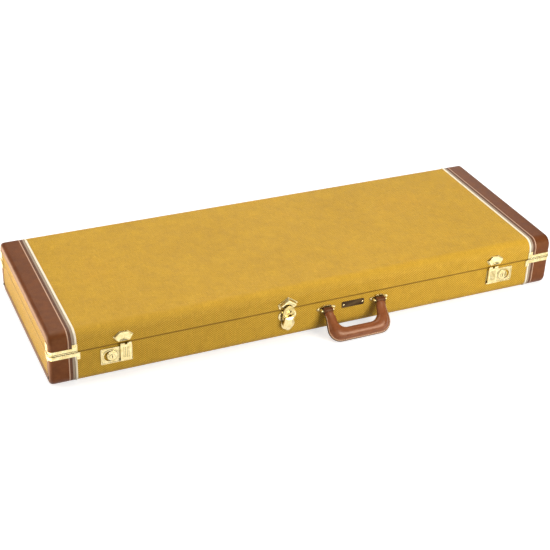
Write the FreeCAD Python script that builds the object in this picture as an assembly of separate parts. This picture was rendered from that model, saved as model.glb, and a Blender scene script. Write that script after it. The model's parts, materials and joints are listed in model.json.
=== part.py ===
import FreeCAD, Part
import os
from math import sqrt
from FreeCAD import Vector

# Hard-shell guitar case: a rectangular plywood case covered in woven cloth,
# with leather ends, brass fittings and a plush-lined inside.
# Millimetres.  X runs along the length, -Y is the front (handle side), +Y the
# back (hinge side), Z is up.  The origin is the centre of the flat bottom.
# Cutting boxes overshoot the body they cut by arbitrary amounts.

os.makedirs("parts", exist_ok=True)
for old in os.listdir("parts"):
    if old.endswith(".step"):
        os.remove(os.path.join("parts", old))

# ---------------- driving dimensions ----------------
LENGTH = 1060.0        # outside, over the leather ends
WIDTH = 376.0          # outside, front face to back face
HEIGHT = 111.0         # outside, bottom to top
PARTING_Z = 69.0       # height of the split between base and lid
GAP = 0.3              # half the gap at the split
EDGE_R = 20.0          # long outside edges
END_R = 7.5            # edges around the two end faces
WALL = 5.0             # plywood wall
LEATHER_T = 1.6        # leather and its backing
SKIN = 0.4             # the cloth sits this much below the leather
SEAT = 0.05            # clearance between a skin and the wood behind it

END_X = LENGTH / 2
SIDE_Y = WIDTH / 2
FRONT_Y = -(SIDE_Y - SKIN)     # front cloth surface
BACK_Y = SIDE_Y - SKIN         # back cloth surface
BASE_TOP = PARTING_Z - GAP
LID_BOTTOM = PARTING_Z + GAP

WOOD_INSET = LEATHER_T + SEAT
CAVITY_INSET = WOOD_INSET + WALL
CAVITY_X = END_X - CAVITY_INSET
CAVITY_Y = SIDE_Y - CAVITY_INSET
FLOOR_Z = CAVITY_INSET
CEILING_Z = HEIGHT - CAVITY_INSET

HANDLE_X = 74.0        # centre of the handle along the case
HANDLE_SPACING = 114.5
MOUNT_XS = [HANDLE_X - HANDLE_SPACING / 2, HANDLE_X + HANDLE_SPACING / 2]

# Domed fasteners: head radius, head height, shank radius, shank length
CLAMP_NAIL = (1.7, 0.7, 0.8, 5.0)
END_STUD = (3.4, 1.8, 1.2, 5.0)
PULL_STUD = (3.0, 1.0, 1.4, 3.5)
HINGE_SCREW = (2.6, 0.9, 1.2, 5.5)
LATCH_NAIL = (1.4, 0.6, 0.7, 5.0)
KEEPER_NAIL = (1.3, 0.6, 0.7, 6.5)
SMALL_NAIL = (1.3, 0.6, 0.7, 5.0)
TIP_NAIL = (1.6, 0.7, 0.8, 5.0)
BRACKET_RIVET = (1.9, 0.8, 0.9, 5.0)
NAMEPLATE_RIVET = (1.9, 0.9, 0.8, 5.0)
ELBOW_RIVET = (2.6, 1.0, 1.0, 0.8)

AXES = {"x": Vector(1, 0, 0), "y": Vector(0, 1, 0), "z": Vector(0, 0, 1)}
FORWARD, BACKWARD, LEFTWARD, UPWARD = (0, -1, 0), (0, 1, 0), (-1, 0, 0), (0, 0, 1)


# ---------------- helpers ----------------
def box(x0, x1, y0, y1, z0, z1):
    """Box between two limits on each axis, given in either order."""
    corner = Vector(min(x0, x1), min(y0, y1), min(z0, z1))
    return Part.makeBox(abs(x1 - x0), abs(y1 - y0), abs(z1 - z0), corner)


def rod_x(x0, x1, y, z, radius):
    return Part.makeCylinder(radius, abs(x1 - x0), Vector(min(x0, x1), y, z), AXES["x"])


def rod_y(y0, y1, x, z, radius):
    return Part.makeCylinder(radius, y1 - y0, Vector(x, y0, z), AXES["y"])


def closed_wire(points):
    return Part.makePolygon(points + [points[0]])


def front_wire(outline, y, centre_x, side=1):
    """Wire from (x, z) points; x counts from centre_x, and side -1 mirrors it."""
    return closed_wire([Vector(centre_x + side * x, y, z) for x, z in outline])


def front_plate(outline, y0, y1, centre_x, side=1):
    return Part.Face(front_wire(outline, y0, centre_x, side)).extrude(Vector(0, y1 - y0, 0))


def end_plate(outline, x0, x1):
    """Plate between x0 and x1 from (y, z) points."""
    wire = closed_wire([Vector(x0, y, z) for y, z in outline])
    return Part.Face(wire).extrude(Vector(x1 - x0, 0, 0))


def both_sides(half):
    """Complete an outline whose x > 0 half is given; points at x = 0 stay single."""
    return half + [(-x, z) for x, z in reversed(half) if x != 0]


def scaled(outline, scale_x, scale_z, centre_z):
    return [(x * scale_x, centre_z + (z - centre_z) * scale_z) for x, z in outline]


def fuse(first, *others):
    for other in others:
        first = first.fuse(other)
    return first.removeSplitter()


def runs_along(edge, axis):
    if edge.Curve.TypeId != "Part::GeomLine":
        return False
    direction = edge.Vertexes[1].Point - edge.Vertexes[0].Point
    direction.normalize()
    return abs(direction.dot(AXES[axis])) > 0.999


def round_edges(shape, radius, axes, where=lambda bounds: True):
    """Round straight edges along any of the named axes whose bounds pass where."""
    edges = [e for e in shape.Edges
             if any(runs_along(e, axis) for axis in axes) and where(e.BoundBox)]
    return shape.makeFillet(radius, edges)


def round_front(shape, radius, y):
    """Round every edge that lies wholly in front of y."""
    return shape.makeFillet(radius, [e for e in shape.Edges if e.BoundBox.YMax < y])


def round_bar(x0, x1, half_y, z0, z1, radius):
    return round_edges(box(x0, x1, -half_y, half_y, z0, z1), radius, "x")


def case_bar(x0, x1, inset):
    """The case's rounded cross-section, inset all round; a negative inset is proud."""
    return round_bar(x0, x1, SIDE_Y - inset, inset, HEIGHT - inset, EDGE_R - inset)


def case_block(inset):
    """The whole rounded case outline, inset all round."""
    x = END_X - inset
    block = case_bar(-x, x, inset)
    ends = []
    for edge in block.Edges:
        bounds = edge.BoundBox
        if abs(bounds.XMin - bounds.XMax) < 1e-4 and abs(abs(bounds.XMin) - x) < 1e-4:
            ends.append(edge)
    return block.makeFillet(END_R - inset, ends)


def sleeve(x0, x1, outer_inset):
    """A band round the case, down to the wood; its underside stays flush at z = 0."""
    outer = round_bar(x0, x1, SIDE_Y - outer_inset, 0, HEIGHT - outer_inset,
                      EDGE_R - outer_inset)
    return outer.cut(case_bar(x0 - 1, x1 + 1, LEATHER_T))


def base_half(shape):
    return shape.common(box(-700, 700, -400, 400, -50, BASE_TOP))


def lid_half(shape):
    return shape.common(box(-700, 700, -400, 400, LID_BOTTOM, 300))


def compound(shapes):
    return Part.makeCompound([solid for shape in shapes for solid in shape.Solids])


def mirror_x(shape):
    return shape.mirror(Vector(0, 0, 0), AXES["x"])


def mirror_y(shape):
    return shape.mirror(Vector(0, 0, 0), AXES["y"])


def both_ends(shape):
    return compound([shape, mirror_x(shape)])


def four_corners(shape):
    return compound([shape, mirror_x(shape), mirror_y(shape), mirror_x(mirror_y(shape))])


def dome(x, y, z, outward, size):
    """Domed fastener seated at a point, with its shank pointing inward."""
    head_r, head_h, shank_r, shank_l = size
    seat, outward = Vector(x, y, z), Vector(*outward)
    ball_r = (head_r * head_r + head_h * head_h) / (2 * head_h)
    ball = Part.makeSphere(ball_r, seat + outward * (head_h - ball_r))
    head = ball.common(Part.makeCylinder(head_r, head_h + 0.5, seat, outward))
    # the shank runs slightly into the head so that the two fuse
    return head.fuse(Part.makeCylinder(shank_r, shank_l + 0.01, seat - outward * shank_l,
                                       outward))


def save(name, shape):
    solids = shape.Solids
    result = solids[0] if len(solids) == 1 else Part.makeCompound(solids)
    result.exportStep("parts/" + name + ".step")


# ---------------- shells, covers and leather ends ----------------
# Distances from the end of the case to each band of trim
LEATHER_EDGE = 35.0
STRIPE_EDGE = 37.0             # dark stripe starts
TAPE_EDGE = 42.0               # woven tape starts
PIPING_EDGES = (46.8, 51.2)    # round piping
PIPING_PROUD = 1.2
RIM = 19.0                     # width of the leather folded on to the end face
RIM_Y = SIDE_Y - RIM
PANEL_GAP = 0.1


def wood():
    return case_block(WOOD_INSET).cut(case_bar(-CAVITY_X, CAVITY_X, CAVITY_INSET))


def cover():
    x = END_X - PIPING_EDGES[1] - 0.1
    return sleeve(-x, x, SKIN)


def handle_pockets():
    """Slots behind the two handle brackets."""
    return compound([box(x - 9.0, x + 9.0, -SIDE_Y - 2, FRONT_Y + 4.8, 54.3, 58.2)
                     for x in MOUNT_XS])


def leather_end():
    """Leather over the right end, before the end-face window is cut."""
    leather = case_block(0).cut(case_block(LEATHER_T))
    return leather.common(box(END_X - LEATHER_EDGE, END_X + 5, -300, 300, -5, 200))


def end_window():
    return box(END_X - LEATHER_T - 0.5, END_X + 5, -RIM_Y, RIM_Y, RIM, HEIGHT - RIM)


def end_panel():
    return box(END_X - LEATHER_T, END_X - SKIN, -RIM_Y + PANEL_GAP, RIM_Y - PANEL_GAP,
               RIM + PANEL_GAP, HEIGHT - RIM - PANEL_GAP)


def piping():
    near, far = PIPING_EDGES
    bead = case_bar(END_X - far, END_X - near, -PIPING_PROUD)
    rims = [e for e in bead.Edges if abs(e.BoundBox.XMin - e.BoundBox.XMax) < 1e-4]
    bead = bead.makeFillet(2.0, rims)
    bead = bead.cut(case_bar(END_X - 60, END_X - 40, LEATHER_T))
    bead = bead.common(box(0, 600, -300, 300, 0, 200))     # flat underneath
    # the proud part is cut away beside the corner clamps
    beside_clamps = box(470, 490, -300, 300, 52.8, 86.2)
    return bead.cut(beside_clamps.cut(box(470, 490, -SIDE_Y, SIDE_Y, 0, 200)))


def trim_strips():
    """Dark stripe, leather-height line and woven tape at the right end."""
    return [sleeve(END_X - TAPE_EDGE + 0.05, END_X - STRIPE_EDGE - 0.05, 0.3),
            sleeve(END_X - STRIPE_EDGE + 0.05, END_X - LEATHER_EDGE - 0.05, 0.0),
            sleeve(END_X - PIPING_EDGES[0] + 0.1, END_X - TAPE_EDGE - 0.05, 0.15)]


WOOD, COVER, LEATHER, PIPING = wood(), cover(), leather_end(), piping()
STRIPS = trim_strips()
for half, take in (("base", base_half), ("lid", lid_half)):
    shell, cloth = take(WOOD), take(COVER)
    if half == "base":
        shell, cloth = shell.cut(handle_pockets()), cloth.cut(handle_pockets())
    cap = take(LEATHER).cut(end_window())
    save(half + "_shell", shell)
    save(half + "_cover", cloth)
    save(half + "_end_cap_right", cap)
    save(half + "_end_cap_left", mirror_x(cap))
    save(half + "_end_panels", both_ends(take(end_panel())))
    save(half + "_piping", both_ends(take(PIPING)))
    save(half + "_trim_strips", both_ends(compound([take(strip) for strip in STRIPS])))

# dark studs low on the end faces, which the case stands on when upright
save("end_studs", both_ends(compound([dome(-END_X, y, 15.5, LEFTWARD, END_STUD)
                                      for y in (-173.5, 173.5)])))

# ---------------- corner clamps, drawn at the front left corner ----------------
CLAMP_T = 0.8
CLAMP_GAP = 0.1         # clamp edge to the edge of the base or lid
CLAMP_END_Y = -166.0    # where the clamp stops on the end face
CLAMP_TAB_Y = -181.0    # where the end tab starts
LIP_PROUD = 1.9         # the lip along the split stands this far off the leather
LIP_H = 2.3
LIP_SHORT = 1.0         # the lip stops this far short of the clamp

# Each clamp: split edge z, band z, front tab x from and to, front tab z, end tab z
LID_CLAMP = (LID_BOTTOM + CLAMP_GAP, 78.3, -488.0, -478.0, 86.0, 91.0)
BASE_CLAMP = (BASE_TOP - CLAMP_GAP, 60.0, -480.5, -473.5, 53.0, 55.0)
# Nails: two (x, z) on the front face, then one (y, z) on the end face
LID_CLAMP_NAILS = ((-483.0, 82.3), (-505.0, 74.0), (-173.5, 86.5))
BASE_CLAMP_NAILS = ((-477.0, 56.6), (-505.0, 64.2), (-173.5, 60.2))


def clamp_lip(front_end_x, z0, z1):
    left, front = -END_X - LIP_PROUD + 0.01, -SIDE_Y - LIP_PROUD + 0.01

    def outer(bounds):
        level = any(abs(bounds.ZMin - z) < 1e-4 and bounds.ZMax - z < 1e-4 for z in (z0, z1))
        on_front = bounds.YMax < front and bounds.XLength > 5
        on_end = bounds.XMax < left and bounds.YLength > 5
        on_corner = (bounds.XLength > 3 and bounds.YLength > 3
                     and bounds.XMin < left and bounds.YMin < front)
        return level and (on_front or on_end or on_corner)

    reach = fuse(box(-END_X - 3, front_end_x, -SIDE_Y - 3, -SIDE_Y + 8, z0, z1),
                 box(-END_X - 3, -END_X + 8, -SIDE_Y - 3, CLAMP_END_Y - LIP_SHORT, z0, z1))
    lip = case_block(-LIP_PROUD).cut(case_block(0)).common(reach)
    return lip.makeFillet(0.85, [e for e in lip.Edges if outer(e.BoundBox)])


def corner_clamp(split_z, band_z, tab_x0, tab_x1, front_tab_z, end_tab_z):
    on_front = (-SIDE_Y - 2, -SIDE_Y + 8)
    on_end = (-END_X - 2, -END_X + 8)
    reach = fuse(box(-END_X - 2, tab_x1, *on_front, split_z, band_z),
                 box(tab_x0, tab_x1, *on_front, split_z, front_tab_z),
                 box(*on_end, -SIDE_Y - 2, CLAMP_END_Y, split_z, band_z),
                 box(*on_end, CLAMP_TAB_Y, CLAMP_END_Y, split_z, end_tab_z))
    lip_z = split_z + LIP_H if band_z > split_z else split_z - LIP_H
    lip = clamp_lip(tab_x1 - LIP_SHORT, split_z, lip_z)
    plate = case_block(-CLAMP_T).cut(case_block(0)).common(reach)
    return plate.fuse(lip).removeSplitter()


def clamp_nails(places):
    *front, (end_y, end_z) = places
    nails = [dome(x, -SIDE_Y - CLAMP_T, z, FORWARD, CLAMP_NAIL) for x, z in front]
    return compound(nails + [dome(-END_X - CLAMP_T, end_y, end_z, LEFTWARD, CLAMP_NAIL)])


save("lid_corner_clamps", four_corners(corner_clamp(*LID_CLAMP)))
save("base_corner_clamps", four_corners(corner_clamp(*BASE_CLAMP)))
save("clamp_nails_lid", four_corners(clamp_nails(LID_CLAMP_NAILS)))
save("clamp_nails_base", four_corners(clamp_nails(BASE_CLAMP_NAILS)))

# ---------------- inside ----------------
VALANCE_X, VALANCE_Y = CAVITY_X - 0.1, CAVITY_Y - 0.1
VALANCE_T = 3.2
CUSHION_X, CUSHION_Y = VALANCE_X - VALANCE_T - 0.4, VALANCE_Y - VALANCE_T - 0.4
CUSHION_TOP = 58.0
RECESS_Z = 18.0         # floor of the guitar-shaped recess

# Back half of the guitar body recess (x, y), from the tail to the neck
BODY_HALF = [(505, 0), (497, 70), (470, 125), (415, 158), (350, 160), (290, 140),
             (240, 128), (190, 134), (145, 142), (105, 128), (88, 90), (90, 40)]

ACC_X0, ACC_X1, ACC_Y0, ACC_Y1 = -210.0, 66.0, -172.0, -58.0   # accessory box
ACC_WALL = 3.0
PULL_X = -72.0


def valance():
    """Lining wall whose tongue stands above the split."""
    low = box(-VALANCE_X, VALANCE_X, -VALANCE_Y, VALANCE_Y, 48.0, BASE_TOP)
    tongue = box(-VALANCE_X + 0.5, VALANCE_X - 0.5, -VALANCE_Y + 0.5, VALANCE_Y - 0.5,
                 48.0, 74.5)
    x, y = VALANCE_X - VALANCE_T, VALANCE_Y - VALANCE_T
    return low.fuse(tongue).cut(box(-x, x, -y, y, 0, 100)).removeSplitter()


def body_recess():
    points = BODY_HALF + [(90, 0)] + [(x, -y) for x, y in reversed(BODY_HALF[1:])]
    curve = Part.BSplineCurve()
    curve.interpolate([Vector(x, y, RECESS_Z) for x, y in points], PeriodicFlag=True)
    return Part.Face(Part.Wire([curve.toShape()])).extrude(Vector(0, 0, 60))


def cushion():
    pad = round_bar(-CUSHION_X, CUSHION_X, CUSHION_Y, FLOOR_Z + 0.3, CUSHION_TOP + 40, 13.0)
    pad = pad.common(box(-600, 600, -300, 300, 0, CUSHION_TOP))
    neck = round_edges(box(-300, 130, -44, 44, RECESS_Z, 90), 8, "z")
    head = round_edges(box(-500, -285, -66, 66, RECESS_Z, 90), 24, "z")
    accessory = box(ACC_X0 - 0.4, ACC_X1 + 0.4, ACC_Y0 - 0.4, ACC_Y1 + 0.4, FLOOR_Z + 2.0, 90)
    return pad.cut(body_recess()).cut(neck).cut(head).cut(accessory).removeSplitter()


def neck_rest():
    block = box(-270, -225, -43.4, 43.4, RECESS_Z + 0.1, 42.0)
    block = round_edges(block, 7, "y", lambda bounds: bounds.ZMin > 30)
    return block.cut(rod_x(-280, -210, 0, 66, 33.0))


def accessory_box():
    bottom = FLOOR_Z + 2.3
    inside = box(ACC_X0 + ACC_WALL, ACC_X1 - ACC_WALL, ACC_Y0 + ACC_WALL, ACC_Y1 - ACC_WALL,
                 bottom + ACC_WALL, 90)
    return box(ACC_X0, ACC_X1, ACC_Y0, ACC_Y1, bottom, CUSHION_TOP - 1.7).cut(inside)


def accessory_lid():
    plate = box(ACC_X0 + 1, ACC_X1 - 1, ACC_Y0 + 0.6, ACC_Y1 - 1,
                CUSHION_TOP - 0.6, CUSHION_TOP + 2.8)
    return round_edges(plate, 1.2, "xy", lambda bounds: bounds.ZMin > CUSHION_TOP + 2)


def accessory_pull():
    """Round-ended tab with a stud, lying on the accessory lid."""
    bottom, top, half_width = CUSHION_TOP + 2.9, CUSHION_TOP + 4.5, 13
    tab = fuse(box(PULL_X - half_width, PULL_X + half_width, ACC_Y1 - 24, ACC_Y1 + 16,
                   bottom, top),
               Part.makeCylinder(half_width, top - bottom, Vector(PULL_X, ACC_Y1 + 16, bottom)))
    return tab.fuse(dome(PULL_X, ACC_Y1 - 16, top, UPWARD, PULL_STUD))


def lid_pad():
    pad = box(-500, 500, -172, 172, 92.0, CEILING_Z - 0.2)
    pad = round_edges(pad, 10.0, "x", lambda bounds: bounds.ZMin > 100)
    return round_edges(pad, 6.0, "x", lambda bounds: bounds.ZMin < 95)


save("base_valance", valance())
save("base_cushion", cushion())
save("neck_rest", neck_rest())
save("accessory_box", accessory_box())
save("accessory_lid", accessory_lid())
save("accessory_lid_pull", accessory_pull())
save("lid_pad", lid_pad())

# ---------------- hinges ----------------
HINGE_XS = (-360.0, 0.0, 360.0)
HINGE_R = 2.9
HINGE_LEAF_T = 1.2
HINGE_Y = BACK_Y + HINGE_LEAF_T + 3.0
HINGE_HALF_L = 23
HINGE_REACH = 24        # pin to the far edge of a leaf
# Knuckle ranges along x from the hinge centre
BASE_KNUCKLES = ((-23, -14), (-4.5, 4.5), (14, 23))
LID_KNUCKLES = ((-13.8, -4.7), (4.7, 13.8))
HINGE_SCREWS = ((-17, 10), (0, 18), (17, 10))    # x from centre, height from the pin


def hinge_leaf(x, up, knuckles):
    """Leaf with its knuckles; up is 1 for the lid and -1 for the base."""
    near_z = PARTING_Z + up * (GAP + 0.3)
    leaf = box(x - HINGE_HALF_L, x + HINGE_HALF_L, BACK_Y, BACK_Y + HINGE_LEAF_T,
               near_z, PARTING_Z + up * HINGE_REACH)
    leaf = round_edges(leaf, 3.0, "y",
                       lambda bounds: abs(bounds.ZMin - PARTING_Z) > HINGE_REACH - 1)
    for start, end in knuckles:
        web = box(x + start, x + end, BACK_Y + 1.0, HINGE_Y, near_z, PARTING_Z + up * HINGE_R)
        leaf = leaf.fuse(rod_x(x + start, x + end, HINGE_Y, PARTING_Z, HINGE_R).fuse(web))
    return leaf.cut(rod_x(x - 30, x + 30, HINGE_Y, PARTING_Z, 1.3)).removeSplitter()


def hinge_screws(up):
    return compound([dome(x + dx, BACK_Y + HINGE_LEAF_T, PARTING_Z + up * dz, BACKWARD,
                          HINGE_SCREW) for x in HINGE_XS for dx, dz in HINGE_SCREWS])


for half, up, knuckles in (("base", -1, BASE_KNUCKLES), ("lid", 1, LID_KNUCKLES)):
    save("hinge_leaves_" + half, compound([hinge_leaf(x, up, knuckles) for x in HINGE_XS]))
    save("hinge_screws_" + half, hinge_screws(up))
save("hinge_pins", compound([rod_x(x - 23.6, x + 23.6, HINGE_Y, PARTING_Z, 1.25)
                             for x in HINGE_XS]))

# ---------------- side latches ----------------
# A latch is (centre x, side).  Its local x counts from the centre towards the
# middle of the case, so side is 1 for the left latch and -1 for the right.
LEFT_LATCH = (-406.0, 1)
RIGHT_LATCH = (410.0, -1)
PLATE_T = 1.2
PLATE_HALF_L, PLATE_Z0, PLATE_Z1 = 30, 30.0, 63.5
HASP_X0, HASP_X1 = 6.5, 27.6
HASP_Y, HASP_Z = FRONT_Y - 3.6, 33.4     # hasp pin
SLOT_X, SLOT_Z, SLOT_R = -8.5, 47.0, 10.8
SLOT_TRAVEL = 5
LOCK_Z = SLOT_Z - 1.5
KEEPER_X, KEEPER_Z = 13.5, 84.5
# Six-sided keeper (x from its centre, z)
KEEPER = [(-12.0, 75.0), (13.0, 75.0), (19.3, 85.0), (8.0, 94.5), (-7.2, 94.5), (-19.3, 85.0)]


def latch_x(latch, x):
    return latch[0] + latch[1] * x


def latch_box(latch, x0, x1, *limits):
    return box(latch_x(latch, x0), latch_x(latch, x1), *limits)


def latch_rod(latch, x0, x1, y, z, radius):
    return rod_x(latch_x(latch, x0), latch_x(latch, x1), y, z, radius)


def slot(latch, radius, y0, y1):
    """Round-ended slot body that the sliding button travels in."""
    end_x = SLOT_X - SLOT_TRAVEL
    return fuse(rod_y(y0, y1, latch_x(latch, SLOT_X), SLOT_Z, radius),
                rod_y(y0, y1, latch_x(latch, end_x), SLOT_Z, radius),
                latch_box(latch, end_x, SLOT_X, y0, y1, SLOT_Z - radius, SLOT_Z + radius))


def latch_plate(latch):
    face_y = FRONT_Y - PLATE_T
    across = (-PLATE_HALF_L, PLATE_HALF_L)
    plate = round_edges(latch_box(latch, *across, face_y, FRONT_Y, PLATE_Z0, PLATE_Z1),
                        2.2, "y")
    plate = plate.fuse(slot(latch, SLOT_R + 1.5, face_y - 0.8, FRONT_Y))
    plate = plate.cut(slot(latch, SLOT_R, FRONT_Y - 5, FRONT_Y + 1))
    # raised border, left off behind the hasp
    border = round_edges(latch_box(latch, *across, face_y - 0.5, face_y, PLATE_Z0, PLATE_Z1),
                         2.2, "y")
    border = border.cut(latch_box(latch, -28.4, 31, FRONT_Y - 5, FRONT_Y + 1,
                                  PLATE_Z0 + 1.6, PLATE_Z1 - 1.6))
    border = border.cut(latch_box(latch, 5.0, 31, FRONT_Y - 5, FRONT_Y + 1, 20, 70))
    plate = plate.fuse(border)
    for x0, x1 in ((5.0, 6.2), (27.9, 29.1)):
        ear = fuse(latch_box(latch, x0, x1, HASP_Y, FRONT_Y - 0.5, HASP_Z - 2.1, HASP_Z + 2.1),
                   latch_rod(latch, x0, x1, HASP_Y, HASP_Z, 2.1))
        plate = plate.fuse(ear)
    return plate.cut(latch_rod(latch, -40, 40, HASP_Y, HASP_Z, 0.92)).removeSplitter()


def hasp(latch):
    """Rolled foot round the pin, ribbed flat face, rolled lip at the top."""
    cheek = (HASP_Y - 1.0, HASP_Y + 1.4, 38.0, 68.0)
    body = fuse(latch_box(latch, HASP_X0, HASP_X1, HASP_Y - 1.8, HASP_Y, HASP_Z, 70.2),
                latch_rod(latch, HASP_X0, HASP_X1, HASP_Y, HASP_Z, 2.0),
                latch_box(latch, HASP_X0, HASP_X0 + 1.3, *cheek),
                latch_box(latch, HASP_X1 - 1.3, HASP_X1, *cheek),
                latch_rod(latch, HASP_X0, HASP_X1, HASP_Y - 0.9, 69.9, 1.6))
    for x in (12.0, 15.2, 18.4, 21.6):
        body = body.cut(latch_box(latch, x, x + 1.0, HASP_Y - 3, HASP_Y - 1.2, 40.0, 62.0))
    body = body.cut(latch_box(latch, 14.5, 19.6, HASP_Y - 4, HASP_Y + 4, 67.4, 75))
    return body.cut(latch_rod(latch, -40, 40, HASP_Y, HASP_Z, 0.95)).removeSplitter()


def latch_slide(latch):
    """Sliding button with an upright thumb ridge and a bore for the lock."""
    x = latch_x(latch, SLOT_X)
    button = rod_y(FRONT_Y - 2.9, FRONT_Y - 0.2, x, SLOT_Z, SLOT_R - 0.4)
    button = round_front(button, 0.7, FRONT_Y - 2.5)
    button = button.fuse(latch_box(latch, SLOT_X - 8.6, SLOT_X - 6.6, FRONT_Y - 4.2,
                                   FRONT_Y - 2.5, SLOT_Z - 5.2, SLOT_Z + 5.2))
    return button.cut(rod_y(FRONT_Y - 10, FRONT_Y + 10, x, LOCK_Z, 4.55)).removeSplitter()


def lock_cylinder(latch):
    x = latch_x(latch, SLOT_X)
    key_y = (FRONT_Y - 5, FRONT_Y - 1.6)
    keyhole = fuse(box(x - 0.6, x + 0.6, *key_y, SLOT_Z - 4.6, SLOT_Z + 1.0),
                   rod_y(*key_y, x, SLOT_Z - 0.4, 1.3))
    return rod_y(FRONT_Y - 3.5, FRONT_Y - 0.2, x, LOCK_Z, 4.5).cut(keyhole)


def keeper(latch):
    """Raised six-sided plate on the lid, with a pocket under its lip."""
    x, side = latch_x(latch, KEEPER_X), latch[1]
    top = front_plate(scaled(KEEPER, 0.86, 0.86, KEEPER_Z), FRONT_Y - 5.4, FRONT_Y - 0.5, x, side)
    slope = end_plate([(FRONT_Y - 8, 60), (FRONT_Y - 8, 110), (FRONT_Y - 2.4, 110),
                       (FRONT_Y - 2.4, 95), (FRONT_Y - 5.4, 78), (FRONT_Y - 5.4, 60)],
                      latch[0] - 40, latch[0] + 40)
    plate = front_plate(KEEPER, FRONT_Y - 1.0, FRONT_Y, x, side).fuse(top.cut(slope))
    pocket = latch_box(latch, KEEPER_X - 9.5, KEEPER_X + 9.5, FRONT_Y - 4.2, FRONT_Y - 1.0,
                       70, 82)
    return plate.cut(pocket).removeSplitter()


def latch_nails(latch):
    x = latch_x(latch, -26.0)
    return [dome(x, FRONT_Y - PLATE_T, z, FORWARD, LATCH_NAIL) for z in (34.0, 59.5)]


def keeper_nail(latch):
    return dome(latch_x(latch, KEEPER_X + 0.4), FRONT_Y - 2.4, 90.6, FORWARD, KEEPER_NAIL)


for name, latch in (("left", LEFT_LATCH), ("right", RIGHT_LATCH)):
    save(name + "_latch_plate", latch_plate(latch))
    save(name + "_hasp", hasp(latch))
    save(name + "_latch_slide", latch_slide(latch))
    save(name + "_lock_cylinder", lock_cylinder(latch))
    save(name + "_keeper", keeper(latch))

# ---------------- centre draw latch ----------------
DRAW_X = -66.0
PIVOT_Y, PIVOT_Z = FRONT_Y - 6.2, 56.0    # lever pin
LINK_Z = PIVOT_Z - 5.0                    # link pin, at the same y
# Outlines (x from DRAW_X, z); the halves are completed by both_sides
DRAW_PLATE = both_sides([(0, 23.6), (5.0, 24.4), (8.8, 27.2), (10.8, 31.5), (12.4, 38.5),
                         (13.4, 45.6), (17.0, 48.4), (18.7, 53.8), (17.8, 60.0),
                         (14.4, 63.6), (12.6, 67.6)])
LEVER = both_sides([(9.0, 58.0), (9.5, 52.0), (9.8, 46.6), (11.2, 43.8), (11.6, 41.0),
                    (10.9, 37.6), (9.4, 34.0), (7.0, 30.4), (4.4, 27.4), (2.0, 25.5),
                    (0.0, 25.0)])
LINK = both_sides([(11.8, 60.8), (11.8, 70.0), (8.0, 75.5), (3.0, 79.0)])
LINK_WINDOW = both_sides([(5.0, 64.0), (5.0, 68.5), (0, 72.5)])
CATCH = both_sides([(17.0, 76.8), (20.4, 79.8), (19.6, 82.2), (0.0, 95.6)])
CATCH_FOOT = both_sides([(14.2, 70.6), (18.4, 73.6), (18.4, 76.6), (16.0, 79.4)])
CATCH_POCKET = both_sides([(11.0, 76.0), (11.0, 80.6), (0.0, 87.6)])
ROOF_BOTTOM = [(-15.6, 77.6), (15.6, 77.6), (18.0, 80.4), (0.0, 94.0), (-18.0, 80.4)]
ROOF_TOP = [(-14.8, 79.6), (14.8, 79.6), (15.6, 80.8), (0.0, 91.6), (-15.6, 80.8)]


def draw_bore(z, radius):
    return rod_x(DRAW_X - 20, DRAW_X + 20, PIVOT_Y, z, radius)


def draw_plate():
    plate = front_plate(DRAW_PLATE, FRONT_Y - PLATE_T, FRONT_Y, DRAW_X)
    for x, z in ((13.4, 43.4), (-13.4, 43.4), (13.6, 56.6), (-13.6, 56.6)):
        plate = plate.cut(rod_y(FRONT_Y - 5, FRONT_Y + 5, DRAW_X + x, z, 1.5))
    for x in (DRAW_X - 9.6, DRAW_X + 8.0):
        ear = fuse(box(x, x + 1.6, PIVOT_Y, FRONT_Y - 0.6, PIVOT_Z - 3.4, PIVOT_Z + 0.5),
                   rod_x(x, x + 1.6, PIVOT_Y, PIVOT_Z, 3.4))
        plate = plate.fuse(ear)
    return plate.cut(draw_bore(PIVOT_Z, 1.22)).removeSplitter()


def draw_lever():
    """Leaf shape with a raised, bevelled field; it leans in towards the tip."""
    plate = front_plate(LEVER, PIVOT_Y - 6.1, PIVOT_Y - 3.9, DRAW_X)
    field = Part.makeLoft(
        [front_wire(scaled(LEVER, 0.90, 0.94, 42.0), PIVOT_Y - 5.9, DRAW_X),
         front_wire(scaled(LEVER, 0.46, 0.70, 42.0), PIVOT_Y - 8.4, DRAW_X)], True, True)
    lever = plate.fuse(field)
    lever.rotate(Vector(0, PIVOT_Y - 4.4, PIVOT_Z), AXES["x"], 7.0)
    hub = box(DRAW_X - 7.8, DRAW_X + 7.8, PIVOT_Y - 4.6, PIVOT_Y + 3.4,
              LINK_Z - 2.4, PIVOT_Z + 2.0)
    lever = lever.fuse(hub).cut(draw_bore(PIVOT_Z, 1.25)).cut(draw_bore(LINK_Z, 0.92))
    return lever.removeSplitter()


def draw_link():
    link = front_plate(LINK, PIVOT_Y - 2.6, PIVOT_Y - 1.2, DRAW_X)
    for x in (DRAW_X - 11.8, DRAW_X + 10.2):
        cheek = fuse(box(x, x + 1.6, PIVOT_Y - 2.0, PIVOT_Y + 1.4, LINK_Z, 70.0),
                     rod_x(x, x + 1.6, PIVOT_Y, LINK_Z, 1.9))
        link = link.fuse(cheek)
    link = link.cut(front_plate(LINK_WINDOW, PIVOT_Y - 5, PIVOT_Y, DRAW_X))
    return link.cut(draw_bore(LINK_Z, 0.95)).removeSplitter()


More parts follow.
